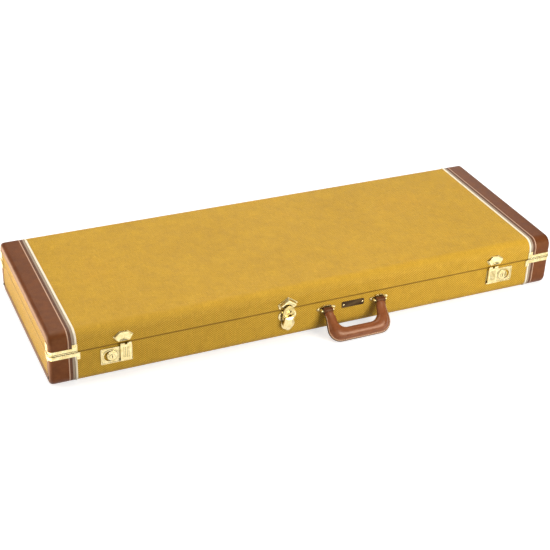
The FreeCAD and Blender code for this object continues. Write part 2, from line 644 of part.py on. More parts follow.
def draw_catch():
    """Roofed catch on the lid, hollow underneath."""
    catch = front_plate(CATCH, FRONT_Y - PLATE_T, FRONT_Y, DRAW_X)
    catch = catch.fuse(Part.makeLoft([front_wire(ROOF_BOTTOM, FRONT_Y - 1.0, DRAW_X),
                                      front_wire(ROOF_TOP, FRONT_Y - 7.2, DRAW_X)], True, True))
    catch = catch.cut(front_plate(CATCH_POCKET, FRONT_Y - 9.0, FRONT_Y - 4.2, DRAW_X))
    catch = catch.fuse(box(DRAW_X - 9.0, DRAW_X + 9.0, FRONT_Y - 3.6, FRONT_Y, 71.0, 79.5))
    catch = catch.fuse(front_plate(CATCH_FOOT, FRONT_Y - PLATE_T, FRONT_Y, DRAW_X))
    return catch.removeSplitter()


def draw_nail(x, z, size):
    return dome(DRAW_X + x, FRONT_Y - PLATE_T, z, FORWARD, size)


save("centre_latch_plate", draw_plate())
save("centre_lever", draw_lever())
save("centre_link_pin", rod_x(DRAW_X - 12.3, DRAW_X + 12.3, PIVOT_Y, LINK_Z, 0.9))
save("centre_link", draw_link())
save("centre_catch", draw_catch())
hasp_pins = [latch_rod(latch, 4.6, 29.5, HASP_Y, HASP_Z, 0.9)
             for latch in (LEFT_LATCH, RIGHT_LATCH)]
save("latch_pins", compound(hasp_pins + [rod_x(DRAW_X - 9.9, DRAW_X + 9.9, PIVOT_Y, PIVOT_Z,
                                               1.2)]))
save("latch_nails_base", compound(latch_nails(LEFT_LATCH) + latch_nails(RIGHT_LATCH)
                                  + [draw_nail(0, 25.6, TIP_NAIL)]
                                  + [draw_nail(x, 60.0, SMALL_NAIL) for x in (-15.4, 15.4)]))
save("latch_nails_lid", compound([keeper_nail(LEFT_LATCH), keeper_nail(RIGHT_LATCH)]
                                 + [draw_nail(x, 74.8, SMALL_NAIL) for x in (-14.6, 14.6)]))

# ---------------- handle ----------------
HANDLE_Y = -SIDE_Y - 8.0    # pivot, in front of the case face
HANDLE_Z = 52.5
HANDLE_REST = 50.0          # degrees below the horizontal
HANDLE_REACH = 65.5         # pivot to outer edge
BAR_R = 2.0
BAR_HALF_L = 12.3
# Grip centreline: half width, start and end distance from the pivot, bend radius
GRIP_U, GRIP_START, GRIP_END, GRIP_BEND = 54.0, 8.0, 49.5, 26.0
# Bracket outlines (x from the bracket centre, z)
BRACKET = both_sides([(10.8, 46.2), (11.5, 48.8), (18.0, 49.6), (20.5, 52.5), (18.0, 55.6),
                      (12.0, 57.0), (7.0, 60.2)])
ARCH = both_sides([(7.2, 60.0), (12.4, 56.2), (12.0, 54.8), (6.8, 58.4)])


def handle_bracket(x):
    plate = front_plate(BRACKET, FRONT_Y - 1.3, FRONT_Y, x)
    plate = plate.fuse(front_plate(ARCH, FRONT_Y - 3.4, FRONT_Y - 1.0, x))
    plate = plate.cut(box(x - 8.6, x + 8.6, FRONT_Y - 5, FRONT_Y + 1, 54.6, 57.9))
    for post_x in (x - BAR_HALF_L, x + BAR_HALF_L):
        plate = plate.fuse(rod_y(HANDLE_Y, FRONT_Y - 0.6, post_x, HANDLE_Z, BAR_R))
        plate = plate.fuse(Part.makeSphere(BAR_R, Vector(post_x, HANDLE_Y, HANDLE_Z)))
    bar = rod_x(x - BAR_HALF_L, x + BAR_HALF_L, HANDLE_Y, HANDLE_Z, BAR_R)
    return plate.fuse(bar).removeSplitter()


# The handle is drawn sticking straight out, then turned down to rest.
def handle_point(across, out, up):
    return Vector(HANDLE_X + across, HANDLE_Y - out, HANDLE_Z + up)


def turn_to_rest(shape):
    shape = shape.copy()
    shape.rotate(Vector(0, HANDLE_Y, HANDLE_Z), AXES["x"], HANDLE_REST)
    return shape


def u_edges(half, start, end, bend, up):
    """Edges of a U: out along one leg, round, across, round and back."""
    inset = bend * (1 - sqrt(0.5))      # middle of each bend
    corners = [handle_point(across, out, up) for across, out in (
        (-half, start), (-half, end - bend), (-half + bend, end),
        (half - bend, end), (half, end - bend), (half, start))]
    middle_left = handle_point(-half + inset, end - inset, up)
    middle_right = handle_point(half - inset, end - inset, up)
    return [Part.makeLine(corners[0], corners[1]),
            Part.Arc(corners[1], middle_left, corners[2]).toShape(),
            Part.makeLine(corners[2], corners[3]),
            Part.Arc(corners[3], middle_right, corners[4]).toShape(),
            Part.makeLine(corners[4], corners[5])]


def u_plate(half, start, end, bend, width, half_t):
    """Flat U of the given width; half and end give its outer edge."""
    def filled(half, start, end, bend):
        closing = Part.makeLine(handle_point(half, start, -half_t),
                                handle_point(-half, start, -half_t))
        wire = Part.Wire(u_edges(half, start, end, bend, -half_t) + [closing])
        return Part.Face(wire).extrude(Vector(0, 0, 2 * half_t))
    return filled(half, start, end, bend).cut(
        filled(half - width, start - 1, end - width, bend - width))


def with_hubs(plate, half_length, radius):
    for x in MOUNT_XS:
        plate = plate.fuse(rod_x(x - half_length, x + half_length, HANDLE_Y, HANDLE_Z, radius))
    return plate


def grip():
    ellipse = Part.Ellipse()
    ellipse.MajorRadius, ellipse.MinorRadius = 10.4, 7.9
    section = ellipse.toShape()
    section.Placement = FreeCAD.Placement(handle_point(-GRIP_U, GRIP_START, 0),
                                          FreeCAD.Rotation(AXES["x"], 90))
    path = Part.Wire(u_edges(GRIP_U, GRIP_START, GRIP_END, GRIP_BEND, 0))
    return path.makePipeShell([Part.Wire([section])], True, False)


def handle_leather():
    """Oval grip with a flat flange, hollowed for the core."""
    leather = grip().fuse(u_plate(67.6, 5.0, HANDLE_REACH, 25.0, 12.0, 1.9))
    for x in MOUNT_XS:
        leather = leather.fuse(rod_x(x - 9.7, x + 9.7, HANDLE_Y, HANDLE_Z, 5.9))
        leather = leather.fuse(box(x - 9.7, x + 9.7, HANDLE_Y - 14, HANDLE_Y,
                                   HANDLE_Z - 5.6, HANDLE_Z + 5.6))
    hollow = with_hubs(u_plate(60.1, 0.0, 55.6, 28.1, 10.2, 1.35), 10, 4.05)
    return leather.cut(hollow).removeSplitter()


def handle_core():
    core = with_hubs(u_plate(60.0, 0.0, 55.5, 28.0, 10.0, 1.25), 9.6, 4.0)
    bore = rod_x(HANDLE_X - 90, HANDLE_X + 90, HANDLE_Y, HANDLE_Z, BAR_R + 0.05)
    return core.cut(bore).removeSplitter()


save("handle_bracket_left", handle_bracket(MOUNT_XS[0]))
save("handle_bracket_right", handle_bracket(MOUNT_XS[1]))
save("handle_bracket_rivets", compound([dome(x + dx, FRONT_Y - 1.3, 52.6, FORWARD, BRACKET_RIVET)
                                        for x in MOUNT_XS for dx in (-16.6, 16.6)]))
save("handle_leather", turn_to_rest(handle_leather()))
save("handle_core", turn_to_rest(handle_core()))

# ---------------- nameplate ----------------
NAME_X, NAME_Z = 75.0, 51.75
NAME_Y = FRONT_Y - 1.5


def nameplate():
    plate = box(NAME_X - 24, NAME_X + 24, NAME_Y, FRONT_Y, NAME_Z - 6.75, NAME_Z + 6.75)
    return round_front(round_edges(plate, 2.0, "y"), 0.5, FRONT_Y - 1.4)


save("nameplate", nameplate())
save("nameplate_rivets", compound([dome(NAME_X + dx, NAME_Y, NAME_Z, FORWARD, NAMEPLATE_RIVET)
                                   for dx in (-20.4, 20.4)]))

# ---------------- folding lid stay, left end, closed ----------------
STAY_Y = 60.0                             # both fixed pivots
STAY_BASE_Z, STAY_LID_Z = 64.0, 80.0
STAY_L = 109.5                            # length of each link
STAY_HALF_W = 4.0
HALF_RISE = (STAY_LID_Z - STAY_BASE_Z) / 2
ELBOW_Y = STAY_Y - sqrt(STAY_L * STAY_L - HALF_RISE * HALF_RISE)
ELBOW_Z = STAY_BASE_Z + HALF_RISE


def stay_link(pivot_z, x0, x1):
    """Round-ended bar from a fixed pivot to the elbow, bored at the pivot."""
    along_y, along_z = (ELBOW_Y - STAY_Y) / STAY_L, (ELBOW_Z - pivot_z) / STAY_L
    dy, dz = -along_z * STAY_HALF_W, along_y * STAY_HALF_W
    bar = end_plate([(STAY_Y + dy, pivot_z + dz), (ELBOW_Y + dy, ELBOW_Z + dz),
                     (ELBOW_Y - dy, ELBOW_Z - dz), (STAY_Y - dy, pivot_z - dz)], x0, x1)
    bar = fuse(bar, rod_x(x0, x1, STAY_Y, pivot_z, STAY_HALF_W),
               rod_x(x0, x1, ELBOW_Y, ELBOW_Z, STAY_HALF_W))
    return bar.cut(rod_x(x0 - 1, x1 + 1, STAY_Y, pivot_z, 2.05)).removeSplitter()


def stay_lower():
    rivet = dome(-515.6, ELBOW_Y, ELBOW_Z, LEFTWARD, ELBOW_RIVET)
    return stay_link(STAY_BASE_Z, -515.6, -514.0).fuse(rivet).removeSplitter()


def stay_anchor(x, plate_t, z0, z1, pivot_z, boss_r, boss_x, pin_x):
    """Plate on the left wall at x, with a boss and a thinner pin."""
    return fuse(box(x, x + plate_t, STAY_Y - 12, STAY_Y + 12, z0, z1),
                rod_x(x, boss_x, STAY_Y, pivot_z, boss_r),
                rod_x(x, pin_x, STAY_Y, pivot_z, 2.0))


save("lid_stay_lower", stay_lower())
save("lid_stay_upper", stay_link(STAY_LID_Z, -513.6, -512.0))
save("lid_stay_anchor_base", stay_anchor(
    -(VALANCE_X - VALANCE_T), 1.5, STAY_BASE_Z - 6, STAY_BASE_Z + 6, STAY_BASE_Z,
    boss_r=3.4, boss_x=-515.9, pin_x=-513.75))
save("lid_stay_anchor_lid", stay_anchor(
    -CAVITY_X, 1.6, 77.0, 91.0, STAY_LID_Z, boss_r=2.9, boss_x=-513.9, pin_x=-511.0))
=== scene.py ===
import bpy, bmesh, json, math, random
import numpy as np
from mathutils import Vector, Matrix


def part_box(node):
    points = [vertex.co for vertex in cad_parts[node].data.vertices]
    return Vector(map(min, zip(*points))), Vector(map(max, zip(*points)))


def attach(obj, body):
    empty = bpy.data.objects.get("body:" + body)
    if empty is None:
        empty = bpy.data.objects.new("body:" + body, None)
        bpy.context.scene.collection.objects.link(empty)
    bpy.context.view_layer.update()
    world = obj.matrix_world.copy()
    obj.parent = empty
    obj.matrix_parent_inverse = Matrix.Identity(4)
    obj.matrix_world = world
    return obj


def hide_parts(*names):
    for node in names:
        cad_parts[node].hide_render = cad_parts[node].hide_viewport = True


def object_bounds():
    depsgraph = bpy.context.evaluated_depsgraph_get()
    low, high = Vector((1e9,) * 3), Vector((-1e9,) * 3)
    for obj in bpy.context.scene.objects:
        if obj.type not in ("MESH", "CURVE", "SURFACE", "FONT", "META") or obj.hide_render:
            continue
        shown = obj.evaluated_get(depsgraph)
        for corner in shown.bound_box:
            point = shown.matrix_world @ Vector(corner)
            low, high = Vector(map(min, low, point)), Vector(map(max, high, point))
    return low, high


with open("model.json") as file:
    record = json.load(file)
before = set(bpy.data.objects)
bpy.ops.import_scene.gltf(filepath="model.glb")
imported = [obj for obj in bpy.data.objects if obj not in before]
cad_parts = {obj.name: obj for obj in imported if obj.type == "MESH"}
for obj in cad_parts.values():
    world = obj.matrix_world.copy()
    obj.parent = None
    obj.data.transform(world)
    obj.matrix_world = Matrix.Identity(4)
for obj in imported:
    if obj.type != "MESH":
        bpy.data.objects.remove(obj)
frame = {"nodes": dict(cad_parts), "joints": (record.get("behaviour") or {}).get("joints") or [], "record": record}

random.seed(7)
np.random.seed(7)
CAD_BOX = [list(v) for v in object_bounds()]
NODES = frame["nodes"]
REC = frame["record"]
MM = 0.001
scene = bpy.context.scene

# ------------------------------------------------------------------ main sizes, read from the frame
lo_cap, hi_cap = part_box("base_end_cap_left")
XL = lo_cap.x                                  # left end of the leather
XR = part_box("base_end_cap_right")[1].x
YF, YB = lo_cap.y, hi_cap.y                    # front and back leather faces
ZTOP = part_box("lid_end_cap_left")[1].z
Z_BASE_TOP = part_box("base_cover")[1].z
Z_LID_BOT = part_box("lid_cover")[0].z
Z_PART = 0.5 * (Z_BASE_TOP + Z_LID_BOT)
COVER_LO, COVER_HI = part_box("lid_cover")
YCF = COVER_LO.y                               # front cloth face
JOINTS = {j["name"]: j for j in frame["joints"]}

# ------------------------------------------------------------------ shader helpers
class G:
    """Small helper for building node graphs."""
    def __init__(self, name):
        self.m = bpy.data.materials.new(name)
        self.m.use_nodes = True
        self.nt = self.m.node_tree
        self.nt.nodes.clear()
        self.out = self.nt.nodes.new("ShaderNodeOutputMaterial")
        self.bsdf = self.nt.nodes.new("ShaderNodeBsdfPrincipled")
        self.nt.links.new(self.bsdf.outputs[0], self.out.inputs[0])
        tc = self.nt.nodes.new("ShaderNodeTexCoord")
        self.obj = tc.outputs["Object"]
        self.xyz = None

    def put(self, sock, v):
        if isinstance(v, (int, float)):
            if sock.type == "RGBA":
                sock.default_value = (v, v, v, 1)
            elif sock.type == "VECTOR":
                sock.default_value = (v, v, v)
            else:
                sock.default_value = v
        elif isinstance(v, (tuple, list)):
            v = list(v)
            if sock.type == "RGBA" and len(v) == 3:
                v = v + [1.0]
            sock.default_value = v
        else:
            self.nt.links.new(v, sock)

    def set(self, **kw):
        names = {"color": "Base Color", "rough": "Roughness", "metal": "Metallic", "normal": "Normal", "spec": "Specular IOR Level",
                 "sheen": "Sheen Weight", "sheen_rough": "Sheen Roughness", "sheen_tint": "Sheen Tint", "coat": "Coat Weight",
                 "coat_rough": "Coat Roughness", "aniso": "Anisotropic", "spec_tint": "Specular Tint", "ior": "IOR", "sub": "Subsurface Weight"}
        for k, v in kw.items():
            self.put(self.bsdf.inputs[names[k]], v)

    def split(self):
        if self.xyz is None:
            s = self.nt.nodes.new("ShaderNodeSeparateXYZ")
            self.nt.links.new(self.obj, s.inputs[0])
            self.xyz = s.outputs
        return self.xyz

    def math(self, op, a, b=0.0, c=None, clamp=False):
        n = self.nt.nodes.new("ShaderNodeMath")
        n.operation = op
        n.use_clamp = clamp
        self.put(n.inputs[0], a)
        if len(n.inputs) > 1:
            self.put(n.inputs[1], b)
        if c is not None:
            self.put(n.inputs[2], c)
        return n.outputs[0]

    def add(self, a, b): return self.math("ADD", a, b)
    def sub(self, a, b): return self.math("SUBTRACT", a, b)
    def mul(self, a, b): return self.math("MULTIPLY", a, b)
    def maxi(self, a, b): return self.math("MAXIMUM", a, b)
    def absv(self, a): return self.math("ABSOLUTE", a)

    def combine(self, x, y, z):
        n = self.nt.nodes.new("ShaderNodeCombineXYZ")
        for i, v in enumerate((x, y, z)):
            self.put(n.inputs[i], v)
        return n.outputs[0]

    def noise(self, scale, detail=3.0, rough=0.55, vec=None, dist=0.0, colour=False):
        n = self.nt.nodes.new("ShaderNodeTexNoise")
        self.nt.links.new(vec if vec is not None else self.obj, n.inputs["Vector"])
        n.inputs["Scale"].default_value = scale
        n.inputs["Detail"].default_value = detail
        n.inputs["Roughness"].default_value = rough
        n.inputs["Distortion"].default_value = dist
        return n.outputs["Color" if colour else "Fac"]

    def voronoi(self, scale, feature="F1", vec=None, rand=1.0, out="Distance"):
        n = self.nt.nodes.new("ShaderNodeTexVoronoi")
        n.feature = feature
        self.nt.links.new(vec if vec is not None else self.obj, n.inputs["Vector"])
        n.inputs["Scale"].default_value = scale
        n.inputs["Randomness"].default_value = rand
        return n.outputs[out]

    def scale_vec(self, v, s):
        n = self.nt.nodes.new("ShaderNodeVectorMath")
        n.operation = "MULTIPLY"
        self.nt.links.new(v, n.inputs[0])
        n.inputs[1].default_value = s
        return n.outputs[0]

    def ramp(self, fac, stops, interp="LINEAR"):
        n = self.nt.nodes.new("ShaderNodeValToRGB")
        cr = n.color_ramp
        cr.interpolation = interp
        while len(cr.elements) > 1:
            cr.elements.remove(cr.elements[-1])
        for i, (p, c) in enumerate(stops):
            e = cr.elements[0] if i == 0 else cr.elements.new(p)
            e.position = p
            e.color = (c, c, c, 1) if isinstance(c, (int, float)) else (*c, 1)
        self.put(n.inputs[0], fac)
        return n.outputs[0]

    def mix(self, fac, a, b, mode="MIX"):
        n = self.nt.nodes.new("ShaderNodeMix")
        n.data_type = "RGBA"
        n.blend_type = mode
        n.clamp_factor = True
        self.put(n.inputs[0], fac)
        self.put(n.inputs[6], a)
        self.put(n.inputs[7], b)
        return n.outputs[2]

    def remap(self, v, a, b, c, d):
        n = self.nt.nodes.new("ShaderNodeMapRange")
        self.put(n.inputs[0], v)
        for i, k in enumerate((a, b, c, d)):
            self.put(n.inputs[i + 1], k)
        return n.outputs[0]

    def bump(self, h, strength=0.4, dist=0.0005, normal=None):
        n = self.nt.nodes.new("ShaderNodeBump")
        n.inputs["Strength"].default_value = strength
        n.inputs["Distance"].default_value = dist
        self.put(n.inputs["Height"], h)
        if normal is not None:
            self.nt.links.new(normal, n.inputs["Normal"])
        return n.outputs[0]

    def bevel_normal(self, r):
        n = self.nt.nodes.new("ShaderNodeBevel")
        n.samples = 4
        n.inputs["Radius"].default_value = r
        return n.outputs[0]

    def geom(self, name):
        n = self.nt.nodes.new("ShaderNodeNewGeometry")
        return n.outputs[name]


def srgb(r, g, b):
    def f(c):
        c /= 255.0
        return c / 12.92 if c <= 0.04045 else ((c + 0.055) / 1.055) ** 2.4
    return (f(r), f(g), f(b))


# ------------------------------------------------------------------ materials
def weave_coords(g):
    """Cloth coordinates in mm: along the case, and round the section without a jump on the long edges."""
    x, y, z = g.split()
    X, Y, Z = g.mul(x, 1000.0), g.mul(y, 1000.0), g.mul(z, 1000.0)
    ay = g.absv(Y)
    top = g.sub(ay, Z)
    bot = g.sub(g.sub(375.2, ay), Z)
    low = g.math("LESS_THAN", Z, 40.0)
    u = g.add(g.mul(low, bot), g.mul(g.sub(1.0, low), top))
    n = g.geom("True Normal")
    s = g.nt.nodes.new("ShaderNodeSeparateXYZ")
    g.nt.links.new(n, s.inputs[0])
    endf = g.math("GREATER_THAN", g.absv(s.outputs[0]), 0.8)
    U = g.add(g.mul(endf, Y), g.mul(g.sub(1.0, endf), X))
    Vv = g.add(g.mul(endf, Z), g.mul(g.sub(1.0, endf), u))
    return U, Vv


def tweed_material():
    g = G("tweed_cloth")
    U, Vv = weave_coords(g)
    wob = g.noise(60.0, 2.0)
    U = g.add(U, g.mul(g.sub(wob, 0.5), 0.5))
    Vv = g.add(Vv, g.mul(g.sub(g.noise(55.0, 2.0, vec=g.scale_vec(g.obj, (1.0, 1.3, 1.2))), 0.5), 0.5))
    P = 4.5                       # pattern repeat, mm
    k = 2 * math.pi / P
    diamond = g.mul(g.math("COSINE", g.mul(U, k)), g.math("COSINE", g.mul(Vv, k)))
    # yarns: four to a repeat
    q = 4 * math.pi / P
    sa = g.absv(g.math("SINE", g.mul(U, q / 1.0)))
    sb = g.absv(g.math("SINE", g.mul(Vv, q / 1.0)))
    par = g.math("GREATER_THAN", g.mul(g.math("SINE", g.mul(U, q)), g.math("SINE", g.mul(Vv, q))), 0.0)
    yarn = g.add(g.mul(par, g.mul(sa, g.math("POWER", sb, 0.35))), g.mul(g.sub(1.0, par), g.mul(sb, g.math("POWER", sa, 0.35))))
    # slub: yarns vary along their length
    slub_u = g.noise(1.0, 2.0, vec=g.combine(g.mul(U, 0.9), g.mul(Vv, 0.05), 0.0))
    slub_v = g.noise(1.0, 2.0, vec=g.combine(g.mul(U, 0.05), g.mul(Vv, 0.9), 3.0))
    big = g.noise(7.0, 3.0, 0.6)
    mid = g.noise(38.0, 3.0, 0.6)
    sn = g.nt.nodes.new("ShaderNodeSeparateXYZ")
    g.nt.links.new(g.geom("True Normal"), sn.inputs[0])
    level = g.math("POWER", g.math("MAXIMUM", sn.outputs[2], 0.0), 2.0)
    amp = g.sub(0.38, g.mul(level, 0.27))
    fac = g.add(0.56, g.mul(diamond, amp))
    fac = g.add(fac, g.mul(g.sub(yarn, 0.6), 0.30))
    fac = g.add(fac, g.mul(g.sub(slub_u, 0.5), 0.34))
    fac = g.add(fac, g.mul(g.sub(slub_v, 0.5), 0.34))
    fac = g.add(fac, g.mul(g.sub(mid, 0.5), 0.22))
    col = g.ramp(fac, [(0.0, (0.20, 0.098, 0.004)), (0.34, (0.40, 0.218, 0.012)), (0.62, (0.615, 0.352, 0.026)), (1.0, (0.86, 0.535, 0.075))])
    tint = g.ramp(big, [(0.25, (0.93, 0.92, 0.84)), (0.55, (1.0, 1.0, 1.0)), (0.8, (1.03, 0.99, 0.92))])
    col = g.mix(1.0, col, tint, "MULTIPLY")
    z = g.mul(g.split()[2], 1000.0)
    # painted shadow: a dark band along the split between lid and base, added on top of the real gap
    split_shadow = g.remap(g.absv(g.sub(z, 1000.0 * Z_PART)), 0.6, 2.6, 1.0, 0.0)
    col = g.mix(g.mul(split_shadow, 0.62), col, (0.16, 0.075, 0.006))
    # painted shadow: the cloth is darkened over its lowest 7 mm, where it meets the floor
    contact_shadow = g.remap(z, 0.0, 7.0, 0.5, 0.0)
    col = g.mix(contact_shadow, col, (0.16, 0.10, 0.02))
    n = g.bump(yarn, 0.55, 0.00035, g.bump(g.mul(g.noise(12.0, 2.0), 1.0), 0.08, 0.002))
    rough = g.add(0.52, g.mul(g.sub(mid, 0.5), 0.2))
    g.set(color=col, rough=rough, spec=0.20, normal=n)
    return g.m


def leather_material(name="brown_leather", base=(0.122, 0.030, 0.0065), dark=(0.055, 0.013, 0.004), light=(0.22, 0.066, 0.018), grain=950.0, bump=0.35, rough0=0.46, sheen=0.0, spec=0.34, coat=0.06):
    g = G(name)
    big = g.noise(9.0, 4.0, 0.6)
    mid = g.noise(70.0, 4.0, 0.6)
    wob = g.noise(300.0, 2.0, 0.5, colour=True)
    n = g.nt.nodes.new("ShaderNodeVectorMath")
    n.operation = "MULTIPLY_ADD"
    g.nt.links.new(wob, n.inputs[0])
    n.inputs[1].default_value = (0.0016, 0.0016, 0.0016)
    g.nt.links.new(g.obj, n.inputs[2])
    warped = n.outputs[0]
    cell = g.voronoi(grain, "SMOOTH_F1", vec=warped)
    fine = g.voronoi(grain * 2.6, "SMOOTH_F1", vec=warped)
    pebble = g.ramp(cell, [(0.15, 1.0), (0.75, 0.0)])
    crease = g.ramp(cell, [(0.45, 0.0), (0.80, 1.0)])
    col = g.mix(g.remap(big, 0.3, 0.7, 0.0, 1.0), base, tuple(0.80 * c for c in base))
    col = g.mix(g.remap(mid, 0.40, 0.80, 0.0, 0.45), col, light)
    col = g.mix(g.mul(crease, 0.40), col, dark)
    pt = g.geom("Pointiness")
    wear = g.mul(g.ramp(pt, [(0.51, 0.0), (0.58, 1.0)]), g.remap(mid, 0.3, 0.7, 0.2, 1.0))
    col = g.mix(g.mul(wear, 0.35), col, light)
    if name == "brown_leather":
        sn = g.nt.nodes.new("ShaderNodeSeparateXYZ")
        g.nt.links.new(g.geom("True Normal"), sn.inputs[0])
        # painted highlight: faces turned towards the case ends are mixed towards a light tan, as if lit at a grazing
        # angle
        end_face_highlight = g.mul(g.remap(g.absv(sn.outputs[0]), 0.86, 0.98, 0.0, 0.40), g.remap(mid, 0.2, 0.8, 0.7, 1.0))
        col = g.mix(end_face_highlight, col, (0.40, 0.19, 0.045))
    h = g.add(g.mul(pebble, 0.6), g.add(g.mul(fine, 0.2), g.mul(mid, 0.8)))
    nb = g.bump(h, bump, 0.00030, g.bump(big, 0.15, 0.003))
    rough = g.add(rough0, g.add(g.mul(g.sub(mid, 0.5), 0.22), g.mul(crease, 0.14)))
    g.set(color=col, rough=rough, spec=spec, normal=nb, sheen=sheen, sheen_rough=0.3, sheen_tint=(1.0, 0.62, 0.36), coat=coat, coat_rough=0.30, spec_tint=(1.0, 0.66, 0.36))
    return g.m


def brass_material(name="brass_polished", col_a=(0.86, 0.73, 0.40), col_b=(0.60, 0.47, 0.17), rough0=0.22):
    g = G(name)
    fine = g.noise(900.0, 2.0, vec=g.scale_vec(g.obj, (1.0, 1.0, 6.0)))
    mid = g.noise(120.0, 3.0, 0.6)
    big = g.noise(28.0, 3.0, 0.6)
    col = g.mix(g.remap(mid, 0.38, 0.72, 0.0, 0.8), col_a, col_b)
    spots = g.ramp(g.noise(420.0, 2.0), [(0.64, 0.0), (0.76, 1.0)])
    col = g.mix(g.mul(spots, 0.30), col, (0.40, 0.24, 0.07))
    # painted shade: the AO node darkens the brass in crevices and next to other parts
    ao = g.nt.nodes.new("ShaderNodeAmbientOcclusion")
    ao.samples = 6
    ao.inputs["Distance"].default_value = 0.0050
    crevice_shade = g.ramp(ao.outputs["AO"], [(0.35, 1.0), (0.93, 0.0)])
    col = g.mix(g.mul(crevice_shade, 0.92), col, (0.15, 0.105, 0.018))
    rough = g.add(rough0, g.add(g.mul(g.sub(fine, 0.5), 0.16), g.mul(g.remap(big, 0.4, 0.8, 0.0, 1.0), 0.14)))
    n = g.bump(g.add(g.mul(fine, 0.4), mid), 0.10, 0.0004, g.bevel_normal(0.00045))
    g.set(color=col, rough=rough, metal=1.0, normal=n)
    return g.m


def steel_material(name="plated_steel", col=(0.62, 0.60, 0.56), rough0=0.28):
    g = G(name)
    fine = g.noise(700.0, 2.0, vec=g.scale_vec(g.obj, (0.2, 1.0, 1.0)))
    mid = g.noise(90.0, 3.0, 0.6)
    c = g.mix(g.remap(mid, 0.4, 0.8, 0.0, 0.6), col, tuple(0.6 * x for x in col))
    g.set(color=c, rough=g.add(rough0, g.mul(g.sub(fine, 0.5), 0.2)), metal=1.0, normal=g.bump(fine, 0.12, 0.0003))
    return g.m


def wood_material():
    g = G("birch_ply")
    x, y, z = g.split()
    warp = g.noise(6.0, 3.0, vec=g.scale_vec(g.obj, (0.25, 3.0, 3.0)))
    v = g.combine(g.mul(x, 3.0), g.mul(y, 60.0), g.mul(z, 60.0))
    grain = g.noise(1.4, 5.0, 0.62, vec=v, dist=0.6)
    pores = g.noise(9.0, 3.0, 0.6, vec=g.combine(g.mul(x, 20.0), g.mul(y, 160.0), g.mul(z, 160.0)))
    ply = g.absv(g.math("SINE", g.mul(g.add(g.absv(y), z), 3200.0)))
    col = g.ramp(grain, [(0.25, (0.30, 0.17, 0.075)), (0.5, (0.50, 0.33, 0.17)), (0.75, (0.62, 0.44, 0.25))])
    col = g.mix(g.mul(g.ramp(pores, [(0.55, 0.0), (0.7, 1.0)]), 0.4), col, (0.20, 0.11, 0.05))
    col = g.mix(g.mul(ply, 0.12), col, (0.28, 0.17, 0.09))
    g.set(color=col, rough=g.add(0.5, g.mul(g.sub(pores, 0.5), 0.2)), spec=0.35, normal=g.bump(g.add(grain, g.mul(pores, 0.5)), 0.25, 0.0004))
    return g.m


def piping_material():
    g = G("cream_piping")
    mid = g.noise(80.0, 3.0, 0.6)
    fine = g.noise(600.0, 3.0, 0.6)
    col = g.mix(g.remap(mid, 0.4, 0.75, 0.0, 0.5), (0.90, 0.82, 0.64), (0.78, 0.66, 0.46))
    col = g.mix(g.mul(g.ramp(fine, [(0.6, 0.0), (0.75, 1.0)]), 0.2), col, (0.55, 0.42, 0.26))
    g.set(color=col, rough=g.add(0.34, g.mul(g.sub(fine, 0.5), 0.2)), spec=0.45, normal=g.bump(g.add(fine, mid), 0.12, 0.0004), coat=0.1)
    return g.m


def trim_material():
    """Three strips side by side: pale line, dark stripe, grey-beige woven tape."""
    g = G("trim_strips")
    U, Vv = weave_coords(g)
    d = g.sub(530.0, g.absv(U))             # distance from the end of the case
    tapew = g.absv(g.math("SINE", g.mul(g.add(d, Vv), 2 * math.pi / 1.6)))
    tapew2 = g.absv(g.math("SINE", g.mul(g.sub(d, Vv), 2 * math.pi / 1.6)))
    cord = g.absv(g.math("SINE", g.mul(g.add(g.mul(d, 0.7), Vv), 2 * math.pi / 2.4)))
    mid = g.noise(90.0, 3.0, 0.6)
    line = g.mix(g.mul(cord, 0.45), srgb(214, 176, 146), srgb(150, 100, 74))
    dark = g.mix(g.remap(mid, 0.3, 0.7, 0.0, 0.6), srgb(88, 52, 32), srgb(120, 80, 54))
    tape = g.mix(g.mul(g.mul(tapew, tapew2), 0.8), srgb(150, 128, 108), srgb(190, 172, 146))
    # painted shade along both edges of the tape, where the bead and the dark stripe meet it
    edge = g.math("GREATER_THAN", g.absv(g.sub(d, 44.4)), 1.9)
    tape = g.mix(g.mul(edge, 0.55), tape, srgb(96, 70, 52))
    is_line = g.math("LESS_THAN", d, 37.0)
    is_tape = g.math("GREATER_THAN", d, 42.0)
    col = g.mix(is_line, dark, line)
    col = g.mix(is_tape, col, tape)
    h = g.add(g.mul(is_line, cord), g.mul(is_tape, g.mul(tapew, tapew2)))
    g.set(color=col, rough=g.add(0.55, g.mul(g.sub(mid, 0.5), 0.25)), spec=0.3, normal=g.bump(g.add(h, g.mul(mid, 0.4)), 0.4, 0.0003))
    return g.m


def plush_material(name="red_plush", a=(0.20, 0.012, 0.016), b=(0.44, 0.045, 0.050), c=(0.075, 0.003, 0.006)):
    g = G(name)
    tuft = g.noise(330.0, 4.0, 0.7)
    lay = g.noise(26.0, 4.0, 0.6, dist=0.8)
    big = g.noise(7.0, 3.0, 0.6)
    fib = g.noise(1600.0, 2.0, 0.6)
    col = g.ramp(tuft, [(0.28, c), (0.5, a), (0.75, b)])
    col = g.mix(g.remap(lay, 0.35, 0.7, 0.0, 0.55), col, b)
    col = g.mix(g.remap(big, 0.3, 0.7, 0.0, 0.3), col, c)
    h = g.add(g.mul(tuft, 0.7), g.add(g.mul(fib, 0.3), g.mul(lay, 0.8)))
    g.set(color=col, rough=0.92, spec=0.1, sheen=0.75, sheen_rough=0.35, sheen_tint=(0.95, 0.35, 0.33), normal=g.bump(h, 0.8, 0.0016))
    return g.m


